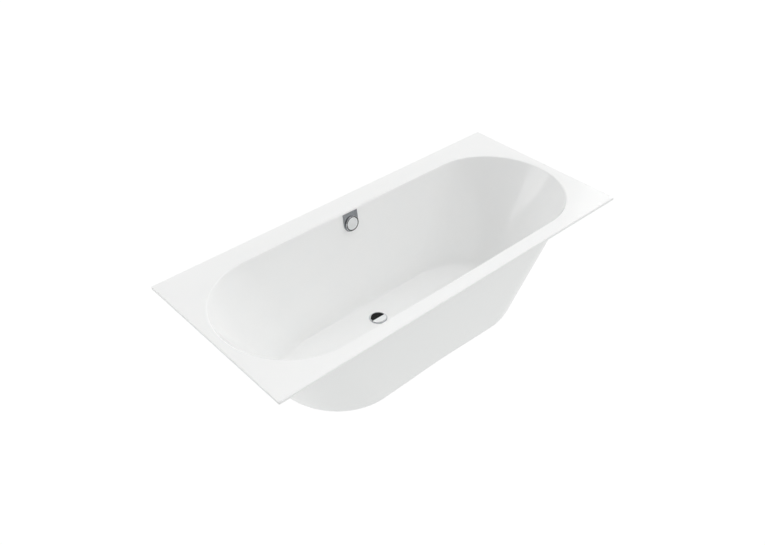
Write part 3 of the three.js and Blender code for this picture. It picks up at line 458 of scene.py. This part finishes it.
across = add(form, MATH, [across, end], operation="MULTIPLY")
side = add(form, MATH, [along_side, 2], operation="MULTIPLY")
side = add(form, MATH, [1, side], operation="SUBTRACT")
side = add(form, MATH, [end, side], operation="MULTIPLY")
tip = add(form, MATH, [round_end, 2], operation="MULTIPLY")
tip = add(form, MATH, [tip, 1], operation="SUBTRACT")
tip = add(form, MATH, [tip], operation="ABSOLUTE")
tip = add(form, MATH, [1, tip], operation="SUBTRACT")


def outline(level):
    """The point of this column on the outline at the top or at the floor."""
    length, width, reach = (given[f"{level} {size}"] for size in ("length", "width", "reach"))
    straight = add(form, MATH, [length, reach], operation="SUBTRACT")
    x = add(form, MATH, [along, reach], operation="MULTIPLY")
    x = add(form, MATH, [straight, x], operation="ADD")
    x = add(form, MATH, [side, x], operation="MULTIPLY")
    y = add(form, MATH, [across, width], operation="MULTIPLY")
    return add(form, "ShaderNodeCombineXYZ", [x, y, 0.0])


high, low = outline("Top"), outline("Floor")
gap = add(form, "ShaderNodeVectorMath", [high, low], operation="SUBTRACT")
run = add(form, "ShaderNodeVectorMath", [gap], 1, operation="LENGTH")
outwards = add(form, "ShaderNodeVectorMath", [gap], operation="NORMALIZE")
slope = add(form, MATH, [given["Depth"], run], operation="ARCTAN2")
half_slope = add(form, MATH, [slope, 2], operation="DIVIDE")
half_slope = add(form, MATH, [half_slope], operation="TANGENT")

# The two rounded parts of the section, each as a distance out from the floor's line and a height
ease = add(form, MATH, [tip, 2], operation="POWER")
ease_part = add(form, MATH, [tip, 2], operation="MULTIPLY")
ease_part = add(form, MATH, [3, ease_part], operation="SUBTRACT")
ease = add(form, MATH, [ease, ease_part], operation="MULTIPLY")
growth = add(form, MATH, [given["End radius"], given["Side radius"]], operation="SUBTRACT")
radius = add(form, MATH, [growth, ease], operation="MULTIPLY")
radius = add(form, MATH, [given["Side radius"], radius], operation="ADD")
lip_share = add(form, MATH, [row, 2], operation="SUBTRACT")
lip_share = add(form, MATH, [lip_share, given["Lip steps"]], operation="DIVIDE")
lip_turn = add(form, MATH, [add(form, "ShaderNodeClamp", [lip_share]), slope], operation="MULTIPLY")
lip_edge = add(form, MATH, [given["Lip radius"], half_slope], operation="MULTIPLY")
lip_edge = add(form, MATH, [run, lip_edge], operation="ADD")
lip_out = add(form, MATH, [lip_turn], operation="SINE")
lip_out = add(form, MATH, [given["Lip radius"], lip_out], operation="MULTIPLY")
lip_out = add(form, MATH, [lip_edge, lip_out], operation="SUBTRACT")
lip_height = add(form, MATH, [lip_turn], operation="COSINE")
lip_height = add(form, MATH, [lip_height, 1], operation="SUBTRACT")
lip_height = add(form, MATH, [given["Lip radius"], lip_height], operation="MULTIPLY")
fillet_share = add(form, MATH, [row, fillet_start], operation="SUBTRACT")
fillet_share = add(form, MATH, [fillet_share, given["Fillet steps"]], operation="DIVIDE")
fillet_turn = add(form, MATH, [1, add(form, "ShaderNodeClamp", [fillet_share])], operation="SUBTRACT")
fillet_turn = add(form, MATH, [slope, fillet_turn], operation="MULTIPLY")
fillet_out = add(form, MATH, [fillet_turn], operation="SINE")
fillet_out = add(form, MATH, [fillet_out, half_slope], operation="SUBTRACT")
fillet_out = add(form, MATH, [radius, fillet_out], operation="MULTIPLY")
fillet_height = add(form, MATH, [fillet_turn], operation="COSINE")
fillet_height = add(form, MATH, [1, fillet_height], operation="SUBTRACT")
fillet_height = add(form, MATH, [radius, fillet_height], operation="MULTIPLY")
fillet_height = add(form, MATH, [fillet_height, given["Depth"]], operation="SUBTRACT")

# Between them the wall is straight, and past them the lid and the base close in to the centre
wall_share = add(form, MATH, [row, lip_end], operation="SUBTRACT")
wall_share = add(form, MATH, [wall_share, given["Wall steps"]], operation="DIVIDE")
wall_share = add(form, "ShaderNodeClamp", [wall_share])
distance = add(form, "ShaderNodeMix", {0: wall_share, 2: lip_out, 3: fillet_out}, clamp_factor=False)
height = add(form, "ShaderNodeMix", {0: wall_share, 2: lip_height, 3: fillet_height}, clamp_factor=False)
lid = add(form, MATH, [2, row], operation="SUBTRACT")
lid = add(form, "ShaderNodeClamp", [lid])
height_part = add(form, MATH, [lid, given["Rise"]], operation="MULTIPLY")
height = add(form, MATH, [height, height_part], operation="ADD")
spread = add(form, MATH, [last_row, row], operation="SUBTRACT")
spread = add(form, MATH, [row, spread], operation="MINIMUM")
spread = add(form, "ShaderNodeClamp", [spread])
reached = add(form, "ShaderNodeVectorMath", {0: outwards, "Scale": distance}, operation="SCALE")
flat = add(form, "ShaderNodeVectorMath", [low, reached], operation="ADD")
flat = add(form, "ShaderNodeVectorMath", {0: flat, "Scale": spread}, operation="SCALE")
lifted = add(form, "ShaderNodeCombineXYZ", [0.0, 0.0, height])
point = add(form, "ShaderNodeVectorMath", [flat, lifted], operation="ADD")
point = add(form, "ShaderNodeVectorMath", [point, given["Centre"]], operation="ADD")
shaped = add(form, "GeometryNodeSetPosition", {"Geometry": grid.outputs[0], "Position": point})
welded = add(form, "GeometryNodeMergeByDistance", {"Geometry": shaped, "Distance": 1e-6})
real = add(form, "GeometryNodeRealizeInstances", [welded])
skinned = add(form, "GeometryNodeSetMaterial", {"Geometry": real, "Material": given["Skin"]})
form.links.new(skinned, form.nodes.new("NodeGroupOutput").inputs[0])
print("the basin tree has", len(form.nodes), "nodes")


# %% [markdown]
# A tree does nothing until an object carries it. This helper gives a tree its sizes, takes the mesh it makes
# and drops the tree again, so what is left is a plain mesh.


# %% Run a node tree
def grown(name, group, sizes, place=Matrix.Identity(4), sharp=30, start=None):
    """The plain piece that a node tree makes from these sizes, and from the mesh it starts with, if any."""
    carrier = bpy.data.objects.new(name, start or bpy.data.meshes.new(name))
    bpy.context.scene.collection.objects.link(carrier)
    modifier = carrier.modifiers.new(group.name, "NODES")
    modifier.node_group = group
    for socket in group.interface.items_tree:
        if socket.in_out == "INPUT" and socket.socket_type != "NodeSocketGeometry":
            modifier[socket.identifier] = sizes[socket.name]
    mesh = bpy.data.meshes.new_from_object(carrier.evaluated_get(bpy.context.evaluated_depsgraph_get()))
    bpy.data.objects.remove(carrier)
    return as_piece(name, mesh, place, (), sharp)


# %% Sizes of the basin
END_RUN, SIDE_RUN = 266.5 * MM, 74 * MM
WALL = 8 * MM
BASIN_CENTRE = Vector((-5 * MM, -22 * MM, 0))
RIM_THICKNESS = 12 * MM


def outline_at(drop, wall=0.0):
    """Half-length, half-width and end reach of the basin's outline at a depth below the rim."""
    share = drop / BASIN_DEPTH
    end = wall * math.hypot(1, END_RUN / BASIN_DEPTH)
    sides = wall * math.hypot(1, SIDE_RUN / BASIN_DEPTH)
    return {
        "length": 860.5 * MM - END_RUN * share + end,
        "width": 313 * MM - SIDE_RUN * share + sides,
        "reach": (303.5 + (265 - 303.5) * share) * MM + end,
    }


def basin_sizes(top_drop, depth, wall, side_radius, end_radius, lip_radius, rise, skin):
    sizes = {"Depth": depth - top_drop, "Side radius": side_radius, "End radius": end_radius}
    sizes |= {"Lip radius": lip_radius, "Rise": rise, "Skin": skin}
    sizes["Centre"] = BASIN_CENTRE + Vector((0, 0, RIM_TOP - top_drop))
    sizes |= {"End steps": 128, "Side steps": 8, "Lip steps": 10, "Wall steps": 10, "Fillet steps": 18}
    sizes |= {f"Top {key}": value for key, value in outline_at(top_drop, wall).items()}
    sizes |= {f"Floor {key}": value for key, value in outline_at(depth, wall).items()}
    return sizes


print("opening", {key: round(value * 1000, 1) for key, value in outline_at(0).items()})

# %% [markdown]
# ## The tub shell
#
# The shell is made the way the formed sheet ends up: a slim slab for the rim, joined to the outer form, less
# the inner form. The waste sits in a shallow recess, so that the last water finds it.


# %% Rim slab
def rim_slab():
    """A rectangular slab with rounded corners and edges. Its underside shows the back. Its sawn side takes
    the back's darker finish too, partly as the laminate a sawn edge shows and partly as painted shade.
    """
    half = Vector((shell_high.x - shell_low.x, shell_high.y - shell_low.y)) / 2
    corner, edge = 5 * MM, 2 * MM
    section = []
    for base, start in ((-RIM_THICKNESS + edge, -90), (-edge, 0)):
        for step in range(7):
            angle = math.radians(start + 15 * step)
            section.append((edge * (math.cos(angle) - 1), base + edge * math.sin(angle)))
    stations = []
    for sx, sy, start in ((1, 1, 0), (-1, 1, 90), (-1, -1, 180), (1, -1, 270)):
        for step in range(9):
            angle = math.radians(start + 11.25 * step)
            x, y = sx * (half.x - corner), sy * (half.y - corner)
            stations.append((x, y, math.cos(angle), math.sin(angle)))
    vertices = [
        (x + c * (corner + out), y + s * (corner + out), RIM_TOP + z)
        for x, y, c, s in stations
        for out, z in section
    ]
    count, rows = len(stations), len(section)
    faces = [
        (k * rows + i, (k + 1) % count * rows + i, (k + 1) % count * rows + i + 1, k * rows + i + 1)
        for k in range(count)
        for i in range(rows - 1)
    ]
    faces.append([k * rows for k in range(count)])
    faces.append([k * rows + rows - 1 for k in range(count)])
    slab = new_piece("rim_slab", vertices, faces, materials=[acrylic, fibre_back])
    # Faces that don't face up take the darker back; on the upright sawn side this is partly painted shade
    for face in slab.data.polygons:
        face.material_index = 1 if face.normal.z < 0.3 else 0
    return slab


tub = rim_slab()
print("rim slab has", len(tub.data.vertices), "vertices")

# %% Join, hollow and drill the shell
SIDE_RADIUS, END_RADIUS, LIP_RADIUS = 16 * MM, 110 * MM, 10 * MM
HEEL = 12 * MM
inside_rim = RIM_THICKNESS / 2
outer = grown("outer_form", form, basin_sizes(
    inside_rim, BASIN_DEPTH + FLOOR_THICKNESS, WALL,
    SIDE_RADIUS + HEEL, END_RADIUS + HEEL, 0.0, 0.0, fibre_back,
))
inner = grown("inner_form", form, basin_sizes(
    0.0, BASIN_DEPTH, 0.0, SIDE_RADIUS, END_RADIUS, LIP_RADIUS, RIM_THICKNESS, acrylic,
))
combine(tub, outer, "UNION")
combine(tub, inner, "DIFFERENCE")
combine(tub, turned("waste_hole", disc(27, -20, 1), waste_place, acrylic), "DIFFERENCE")
combine(tub, turned("waste_recess", disc(41, -2.5, 1), waste_place, acrylic), "DIFFERENCE")
combine(tub, turned("overflow_hole", disc(26, -16, 5), overflow_place, acrylic), "DIFFERENCE")
tub = as_piece("bathtub_shell", tub.data.copy(), sharp=32)
bpy.data.objects.remove(bpy.data.objects["rim_slab"])
even = tub.modifiers.new("even shading", "WEIGHTED_NORMAL")
even.keep_sharp = True
even.weight = 80
tub.data = bpy.data.meshes.new_from_object(tub.evaluated_get(bpy.context.evaluated_depsgraph_get()))
tub.modifiers.clear()
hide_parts("tub_shell")
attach(tub, "bath")
print("shell:", len(tub.data.polygons), "faces,", [m.name for m in tub.data.materials])

# %% [markdown]
# ## The waste
#
# A chromed flange sits in the recess on a rubber washer. The plug is a slightly domed disc that covers all
# but the flange's edge, and rises 8 mm when the knob is turned.

# %% Flange, washer, plug and seal
flange = turned("waste_flange_ring", [
    (22, -26), (25, -26), (25, -0.7), (40, -0.7), (40, 1.3), (37, 1.3), (27, 1.2), (22, -3.7),
], waste_place, chrome, 144, closed=True, radius=0.7 * MM)
plug = turned("plug_face", [
    (0, 4.4), (33, 4.25), (35.4, 3.9), (36, 3.2), (36, 1.9),
    (7, 1.9), (7, -6), (3.3, -6), (3.3, -0.5), (0, -0.5),
], waste_place, polished, 144, radius=0.6 * MM)
for piece, node, body in ((flange, "waste_flange", "bath"), (plug, "plug_disc", "plug")):
    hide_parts(node)
    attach(piece, body)
print("plug top at", round(max(v.co.z for v in plug.data.vertices), 4))

# %% [markdown]
# ## The overflow
#
# A flat chromed plate covers the hole in the back wall. It has straight sides and a round foot that runs
# concentric with the knob. The knob turns a spool. In a real bath a cable runs from it to the plug, which
# is left out here. The dark ring round the knob's edge is painted reflection: a ring of black rubber stands
# in for the dark that the knob's rounded edge reflects, and rubber there is a guess.


# %% Overflow plate
def plate_outline(inset=0.0, top=51.0, radius=39.0, steps=40):
    reach = (radius - inset) * MM
    turns = [math.pi * (1 + k / steps) for k in range(steps + 1)]
    foot = [(reach * math.cos(turn), reach * math.sin(turn)) for turn in turns]
    return [(reach, (top - inset) * MM), (-reach, (top - inset) * MM)] + foot


def overflow_plate():
    """The plate as stacked outlines: its front edge is rounded over 0.8 mm."""
    levels = [(0.5, 0.4), (0.9, 0.0), (2.2, 0.0), (2.55, 0.1), (2.85, 0.4), (3.0, 0.8)]
    vertices = [(x, y, z * MM) for z, inset in levels for x, y in plate_outline(inset)]
    count = len(vertices) // len(levels)
    faces = [
        (r * count + k, r * count + (k + 1) % count, (r + 1) * count + (k + 1) % count, (r + 1) * count + k)
        for r in range(len(levels) - 1)
        for k in range(count)
    ]
    faces.append(list(range(count))[::-1])
    faces.append([(len(levels) - 1) * count + k for k in range(count)])
    return new_piece("overflow_cover", vertices, faces, overflow_place, [satin_and_painted_dark], sharp=40)


cover = overflow_plate()
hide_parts("overflow_plate")
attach(cover, "bath")

# %% Knob and the black ring of its painted reflection
painted_reflection_black = moulded["Black rubber"]
knob = turned("knob_face", [
    (0, 11.9), (24, 11.8), (27.6, 12.2), (28.4, 11.6), (28.4, 10.9),
    (32.6, 10.9), (32.6, 11.6), (33.2, 11.3), (33.5, 10.4),
    (33.5, 6.2), (32.6, 5.5), (0, 5.5),
], overflow_place, knob_chrome_painted_light, 144, radius=0.4 * MM)
# This black ring is painted reflection: it stands in for the dark that the knob's rounded edge reflects
grip = turned("knob_painted_reflection_ring", [
    (28.5, 10.8), (32.5, 10.8), (32.5, 12.1), (31.8, 12.6), (29.2, 12.6), (28.5, 12.1),
], overflow_place, painted_reflection_black, 144, closed=True, radius=0.4 * MM)
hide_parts("rotary_knob")
for piece in (knob, grip):
    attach(piece, "knob")
front = max((overflow_place.inverted() @ v.co).z for v in knob.data.vertices)
print("knob front at", round(front * 1000, 2), "mm")

# %% [markdown]
# ## Union nuts with grip ribs
#
# Each slip joint of the pipework is closed by a nut that a plumber turns by hand, so it carries ribs. They
# repeat evenly round the nut, which suits a node tree: it sets a rounded rib at each point of a circle.

# %% Node tree: ribs round a sleeve
ribs = bpy.data.node_groups.new("Grip ribs", "GeometryNodeTree")
ribs.interface.new_socket("Geometry", in_out="OUTPUT", socket_type="NodeSocketGeometry")
for name, kind in {"Sleeve": "Geometry", "Count": "Int", "Radius": "Float", "Rib radius": "Float",
                   "Rib length": "Float", "Skin": "Material"}.items():
    ribs.interface.new_socket(name, in_out="INPUT", socket_type=f"NodeSocket{kind}")
given = ribs.nodes.new("NodeGroupInput").outputs
circle = add(ribs, "GeometryNodeMeshCircle", {"Vertices": given["Count"], "Radius": given["Radius"]})
rib = add(ribs, "GeometryNodeMeshCylinder", {
    "Vertices": 12, "Side Segments": 1, "Radius": given["Rib radius"], "Depth": given["Rib length"],
})
rib = add(ribs, "GeometryNodeSetShadeSmooth", {"Geometry": rib})
copies = add(ribs, "GeometryNodeInstanceOnPoints", {"Points": circle, "Instance": rib})
both = ribs.nodes.new("GeometryNodeJoinGeometry")
ribs.links.new(given["Sleeve"], both.inputs[0])
ribs.links.new(copies, both.inputs[0])
real = add(ribs, "GeometryNodeRealizeInstances", [both.outputs[0]])
skinned = add(ribs, "GeometryNodeSetMaterial", {"Geometry": real, "Material": given["Skin"]})
ribs.links.new(skinned, ribs.nodes.new("NodeGroupOutput").inputs[0])


# %% Four union nuts
def union_nut(node, axis, radius, bore, length, skin):
    """A ribbed sleeve about the node's middle, with its axis along X or Z of its own place."""
    wall = ring(radius, bore, -length / 2, length / 2)
    sleeve = turned("sleeve", wall, Matrix.Identity(4), skin, 96, True, 1.2 * MM)
    base = sleeve.data.copy()
    bpy.data.objects.remove(sleeve)
    nut = grown(node + "_ribbed", ribs, {
        "Count": 24, "Radius": (radius - 0.2) * MM, "Rib radius": 1.3 * MM,
        "Rib length": (length - 5) * MM, "Skin": skin,
    }, axis, start=base)
    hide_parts(node)
    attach(nut, "bath")
    return nut


grey = moulded["Grey polypropylene"]
along_x = Matrix.Rotation(math.pi / 2, 4, "Y")
along_wall = overflow_place.to_3x3().to_4x4() @ Matrix.Rotation(math.pi / 2, 4, "X")
along_y = Matrix.Rotation(math.pi / 2, 4, "X")
nuts = {"trap_inlet_nut": along_x, "trap_outlet_nut": along_x, "overflow_nut_upper": along_wall,
        "overflow_nut_lower": along_y}
for node, turn_to in nuts.items():
    low, high = (Vector(corner) * 1000 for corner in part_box(node))
    size = high - low
    wide = size.z / 2 if "trap" in node else size.x / 2
    long = 22 if "trap" in node else 24
    bore = 20.3 if "trap" in node else 15.2
    union_nut(node, Matrix.Translation(middle(node)) @ turn_to, wide - 1.5, bore, long, grey)
print("made 4 union nuts")

# %% [markdown]
# ## The overflow pipe
#
# The pipe from the overflow to the waste is hidden under the basin, so its kind is a guess: a plastic hose
# with rings, which can bend without kinking. A node tree sweeps a circle along the pipe's path, and swells
# and narrows it in step with the distance travelled.

# %% Node tree: a ringed pipe along a path
ringed = bpy.data.node_groups.new("Ringed pipe", "GeometryNodeTree")
ringed.interface.new_socket("Geometry", in_out="OUTPUT", socket_type="NodeSocketGeometry")
for name, kind in {"Path": "Geometry", "Radius": "Float", "Ring pitch": "Float", "Ring height": "Float",
                   "Plain end": "Float", "Skin": "Material"}.items():
    ringed.interface.new_socket(name, in_out="INPUT", socket_type=f"NodeSocket{kind}")
given = ringed.nodes.new("NodeGroupInput").outputs
path = add(ringed, "GeometryNodeMeshToCurve", {"Mesh": given["Path"]})
fine = ringed.nodes.new("GeometryNodeResampleCurve")
ringed.links.new(path, fine.inputs["Curve"])
fine.inputs["Count"].default_value = 560
travelled = ringed.nodes.new("GeometryNodeSplineParameter").outputs["Length"]
whole = add(ringed, "GeometryNodeSplineLength")
swing = add(ringed, MATH, [travelled, given["Ring pitch"]], operation="DIVIDE")
swing = add(ringed, MATH, [swing, 2 * math.pi], operation="MULTIPLY")
swing = add(ringed, MATH, [swing], operation="COSINE")
left = add(ringed, MATH, [whole, travelled], operation="SUBTRACT")
nearest = add(ringed, MATH, [travelled, left], operation="MINIMUM")
inside = add(ringed, MATH, [nearest, given["Plain end"]], operation="GREATER_THAN")
depth = add(ringed, MATH, [swing, 1.0], operation="SUBTRACT")
depth = add(ringed, MATH, [depth, given["Ring height"]], operation="MULTIPLY")
depth = add(ringed, MATH, [depth, inside], operation="MULTIPLY")
depth = add(ringed, MATH, [depth, 0.5], operation="MULTIPLY")
swell = add(ringed, MATH, [given["Radius"], depth], operation="ADD")
profile = add(ringed, "GeometryNodeCurvePrimitiveCircle", {"Resolution": 40, "Radius": 1.0})
tube = ringed.nodes.new("GeometryNodeCurveToMesh")
sized = add(ringed, "GeometryNodeSetCurveRadius", {"Curve": fine.outputs[0], "Radius": swell})
ringed.links.new(sized, tube.inputs["Curve"])
ringed.links.new(profile, tube.inputs["Profile Curve"])
if "Scale" in tube.inputs:
    ringed.links.new(swell, tube.inputs["Scale"])
tube.inputs["Fill Caps"].default_value = True
real = add(ringed, "GeometryNodeRealizeInstances", [tube.outputs[0]])
skinned = add(ringed, "GeometryNodeSetMaterial", {"Geometry": real, "Material": given["Skin"]})
ringed.links.new(skinned, ringed.nodes.new("NodeGroupOutput").inputs[0])


# %% Overflow pipe
def smooth_path(points, steps=14):
    """A centripetal Catmull-Rom curve through the points."""
    ends = [points[0] * 2 - points[1], *points, points[-1] * 2 - points[-2]]
    path = []
    for p0, p1, p2, p3 in zip(ends, ends[1:], ends[2:], ends[3:]):
        t1 = (p1 - p0).length ** 0.5
        t2 = t1 + (p2 - p1).length ** 0.5
        t3 = t2 + (p3 - p2).length ** 0.5
        for step in range(steps):
            t = t1 + (t2 - t1) * step / steps
            share = (t - t1) / (t2 - t1)
            a1, a2, a3 = p0.lerp(p1, t / t1), p1.lerp(p2, share), p2.lerp(p3, (t - t2) / (t3 - t2))
            before, after = a1.lerp(a2, t / t2), a2.lerp(a3, (t - t1) / (t3 - t1))
            path.append(before.lerp(after, share))
    return [*path, points[-1]]


PIPE_BEHIND = 34 * MM
PORT_END = 58.3 * MM
STRAIGHT = 311 * MM
down_wall = [Vector((0, -PORT_END - STRAIGHT * share, -PIPE_BEHIND)) for share in (0, 0.1, 0.4, 0.7, 1)]
under_floor = [Vector((0, y, z)) * MM for y, z in ((133.1, -3), (101.1, -33), (74.3, -34), (58.3, -34))]
knots = [overflow_place @ point for point in down_wall] + [waste_place @ point for point in under_floor]
line = smooth_path(knots)
route = bpy.data.meshes.new("pipe_route")
route.from_pydata([tuple(p) for p in line], [(i, i + 1) for i in range(len(line) - 1)], [])
pipe = grown("overflow_pipe_ringed", ringed, {
    "Radius": 14.5 * MM, "Ring pitch": 7 * MM, "Ring height": 2.2 * MM, "Plain end": 22 * MM,
    "Skin": moulded["White polypropylene"],
}, start=route, sharp=60)
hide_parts("overflow_pipe")
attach(pipe, "bath")
pipe_length = sum((b - a).length for a, b in zip(line, line[1:]))
print("pipe is", round(pipe_length, 3), "m long,", len(pipe.data.polygons), "faces")

# %% [markdown]
# ## Stud threads
#
# Each foot stands on an M12 stud with a pitch of 1.75 mm. The thread is a helix, which a node tree sweeps
# as a small ridge round the stud's core.

# %% Node tree: a thread
thread = bpy.data.node_groups.new("Thread", "GeometryNodeTree")
thread.interface.new_socket("Geometry", in_out="OUTPUT", socket_type="NodeSocketGeometry")
for name in ("Radius", "Turns", "Length", "Ridge"):
    thread.interface.new_socket(name, in_out="INPUT", socket_type="NodeSocketFloat")
thread.interface.new_socket("Skin", in_out="INPUT", socket_type="NodeSocketMaterial")
given = thread.nodes.new("NodeGroupInput").outputs
helix = add(thread, "GeometryNodeCurveSpiral", {
    "Resolution": 20, "Rotations": given["Turns"], "Start Radius": given["Radius"],
    "End Radius": given["Radius"], "Height": given["Length"],
})
ridge = add(thread, "GeometryNodeCurvePrimitiveCircle", {"Resolution": 5, "Radius": given["Ridge"]})
swept = add(thread, "GeometryNodeCurveToMesh", {"Curve": helix, "Profile Curve": ridge, "Fill Caps": True})
real = add(thread, "GeometryNodeRealizeInstances", [swept])
skinned = add(thread, "GeometryNodeSetMaterial", {"Geometry": real, "Material": given["Skin"]})
thread.links.new(skinned, thread.nodes.new("NodeGroupOutput").inputs[0])

# %% Threads on the four studs
for side in ("left", "right"):
    for end in ("front", "back"):
        low, high = (Vector(corner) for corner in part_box(f"foot_stud_{side}_{end}"))
        centre = (low + high) / 2
        bottom, top = low.z + 26 * MM, high.z - 1.5 * MM
        made = grown(f"stud_thread_{side}_{end}", thread, {
            "Radius": 5.6 * MM, "Turns": (top - bottom) / (1.75 * MM), "Length": top - bottom,
            "Ridge": 0.65 * MM, "Skin": zinc,
        }, Matrix.Translation((centre.x, centre.y, bottom)))
        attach(made, f"foot_{side}_{end}")
print("threads have", len(made.data.polygons), "faces each")

# %% [markdown]
# ## The remaining pieces
#
# Real edges are never razor sharp: a moulding, a turned part and a sawn panel each have their own small
# radius. The pieces under the bath keep the engineering shape, and a bevel gives each its edge.

# %% Ease the edges of every remaining piece
SLOT_FINISH = {
    "white_acrylic": acrylic, "birch_ply": plywood, "chrome": chrome, "brass": brass,
    "galvanised_steel": zinc, "stainless_steel": stainless, "black_rubber": moulded["Black rubber"],
    "white_polypropylene": moulded["White polypropylene"],
    "grey_polypropylene": moulded["Grey polypropylene"], "black_nylon": moulded["Black nylon"],
}
EDGE_RADIUS = {
    "birch_ply": 1.2, "brass": 0.3, "galvanised_steel": 0.5, "stainless_steel": 0.25, "black_rubber": 0.35,
    "white_polypropylene": 0.8, "grey_polypropylene": 0.8, "black_nylon": 0.9, "chrome": 0.3,
    "white_acrylic": 1.0,
}
body_of = {node: body for body, nodes in frame["record"]["behaviour"]["bodies"].items() for node in nodes}
made_already = {"tub_shell", "waste_flange", "plug_disc", "overflow_plate", "rotary_knob", "overflow_pipe",
                "trap_inlet_nut", "trap_outlet_nut", "overflow_nut_upper", "overflow_nut_lower"}
for entry in frame["record"]["subparts"]:
    node, slot = entry["node"], entry["material_slot"]
    source = frame["nodes"][node]
    for material_slot in source.material_slots:
        material_slot.material = SLOT_FINISH[slot]
    if node in made_already:
        continue
    copy = source.data.copy()
    copy.materials.clear()
    joined = bmesh.new()
    joined.from_mesh(copy)
    bmesh.ops.remove_doubles(joined, verts=joined.verts, dist=1e-6)
    bmesh.ops.dissolve_limit(joined, angle_limit=math.radians(0.6), verts=joined.verts, edges=joined.edges)
    joined.to_mesh(copy)
    joined.free()
    copy.materials.append(SLOT_FINISH[slot])
    for face in copy.polygons:
        face.material_index = 0
    eased = bpy.data.objects.new(f"{node}_eased", copy)
    bpy.context.scene.collection.objects.link(eased)
    bevel = eased.modifiers.new("edge", "BEVEL")
    bevel.width = EDGE_RADIUS[slot] * MM
    bevel.segments = 2
    bevel.limit_method = "ANGLE"
    bevel.angle_limit = math.radians(35)
    bevel.use_clamp_overlap = True
    mesh = bpy.data.meshes.new_from_object(eased.evaluated_get(bpy.context.evaluated_depsgraph_get()))
    bpy.data.objects.remove(eased)
    piece = as_piece(f"{node}_eased", mesh, sharp=40)
    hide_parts(node)
    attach(piece, body_of[node])

# %% [markdown]
# ## The studio
#
# White ware is lit from all round on a white sweep, or it turns grey. The light is a little stronger from
# above and behind, which leaves the near wall and the right-hand end slightly darker and shows their slope.

# %% Floor
REACH = 15
corners = ((-REACH, -REACH), (REACH, -REACH), (REACH, REACH), (-REACH, REACH))
floor = new_piece("studio_floor", [(x, y, -0.001) for x, y in corners], [(0, 1, 2, 3)])
paper, tree, shader = finish("White studio paper", "#303030", 0.9)
spot = add(tree, "ShaderNodeTexCoord", output=3)
pulp = add(tree, "ShaderNodeTexNoise", {"Vector": spot, "Scale": 300.0})
rough = add(tree, "ShaderNodeMapRange", [pulp, 0.3, 0.7, 0.85, 0.95])
tree.links.new(rough, shader.inputs["Roughness"])
shader.inputs["Specular IOR Level"].default_value = 0.0
shader.inputs["Emission Color"].default_value = (1, 1, 1, 1)
shader.inputs["Emission Strength"].default_value = 1.0
floor.data.materials.append(paper)

# %% Sky of the studio
scene = bpy.context.scene
scene.view_settings.view_transform = "Standard"
world = bpy.data.worlds.new("Studio")
scene.world = world
world.use_nodes = True
tree = world.node_tree
direction = add(tree, "ShaderNodeTexCoord", output=0)

# Light falls off from the upper right. A softbox hangs overhead with a dark flag beside it, and a lamp
# stands low at the left.
# Each row gives a direction, how closely it is faced where the part starts and ends, and the two strengths.
SKY = {
    "falloff": ((0.75, 0.1, 0.65), -1.0, 1.0, 0.14, 1.02),
    "flag": ((0.505, 0.19, 0.841), 0.935, 0.945, 1.0, 0.01),
    "softbox": ((0.48, 0.05, 0.87), 0.80, 0.92, 0.0, 1.22),
    "lamp": ((-0.78, 0.55, 0.3), 0.95, 0.97, 0.0, 1.6),
}
shine = {}
for name, (aim, *spread) in SKY.items():
    aim = Vector(aim).normalized()
    facing = add(tree, "ShaderNodeVectorMath", [direction, aim], 1, operation="DOT_PRODUCT")
    shine[name] = add(tree, "ShaderNodeMapRange", [facing, *spread])
lit = add(tree, MATH, [shine["falloff"], shine["softbox"]], operation="ADD")
lit = add(tree, MATH, [lit, shine["flag"]], operation="MULTIPLY")
lit = add(tree, MATH, [lit, shine["lamp"]], operation="ADD")
tree.links.new(lit, tree.nodes["Background"].inputs["Strength"])
tree.nodes["Background"].inputs["Color"].default_value = (1, 1, 1, 1)

# %% A key light from the right
key = bpy.data.lights.new("key light", "AREA")
key.shape = "SQUARE"
key.size = 1.6
key.energy = 6.0
key_light = bpy.data.objects.new("key light", key)
scene.collection.objects.link(key_light)
key_light.location = (3.5, 0.5, 2.2)
key_light.rotation_euler = (rim_centre - key_light.location).to_track_quat("-Z", "Y").to_euler()
print("key light of", key.energy, "W")
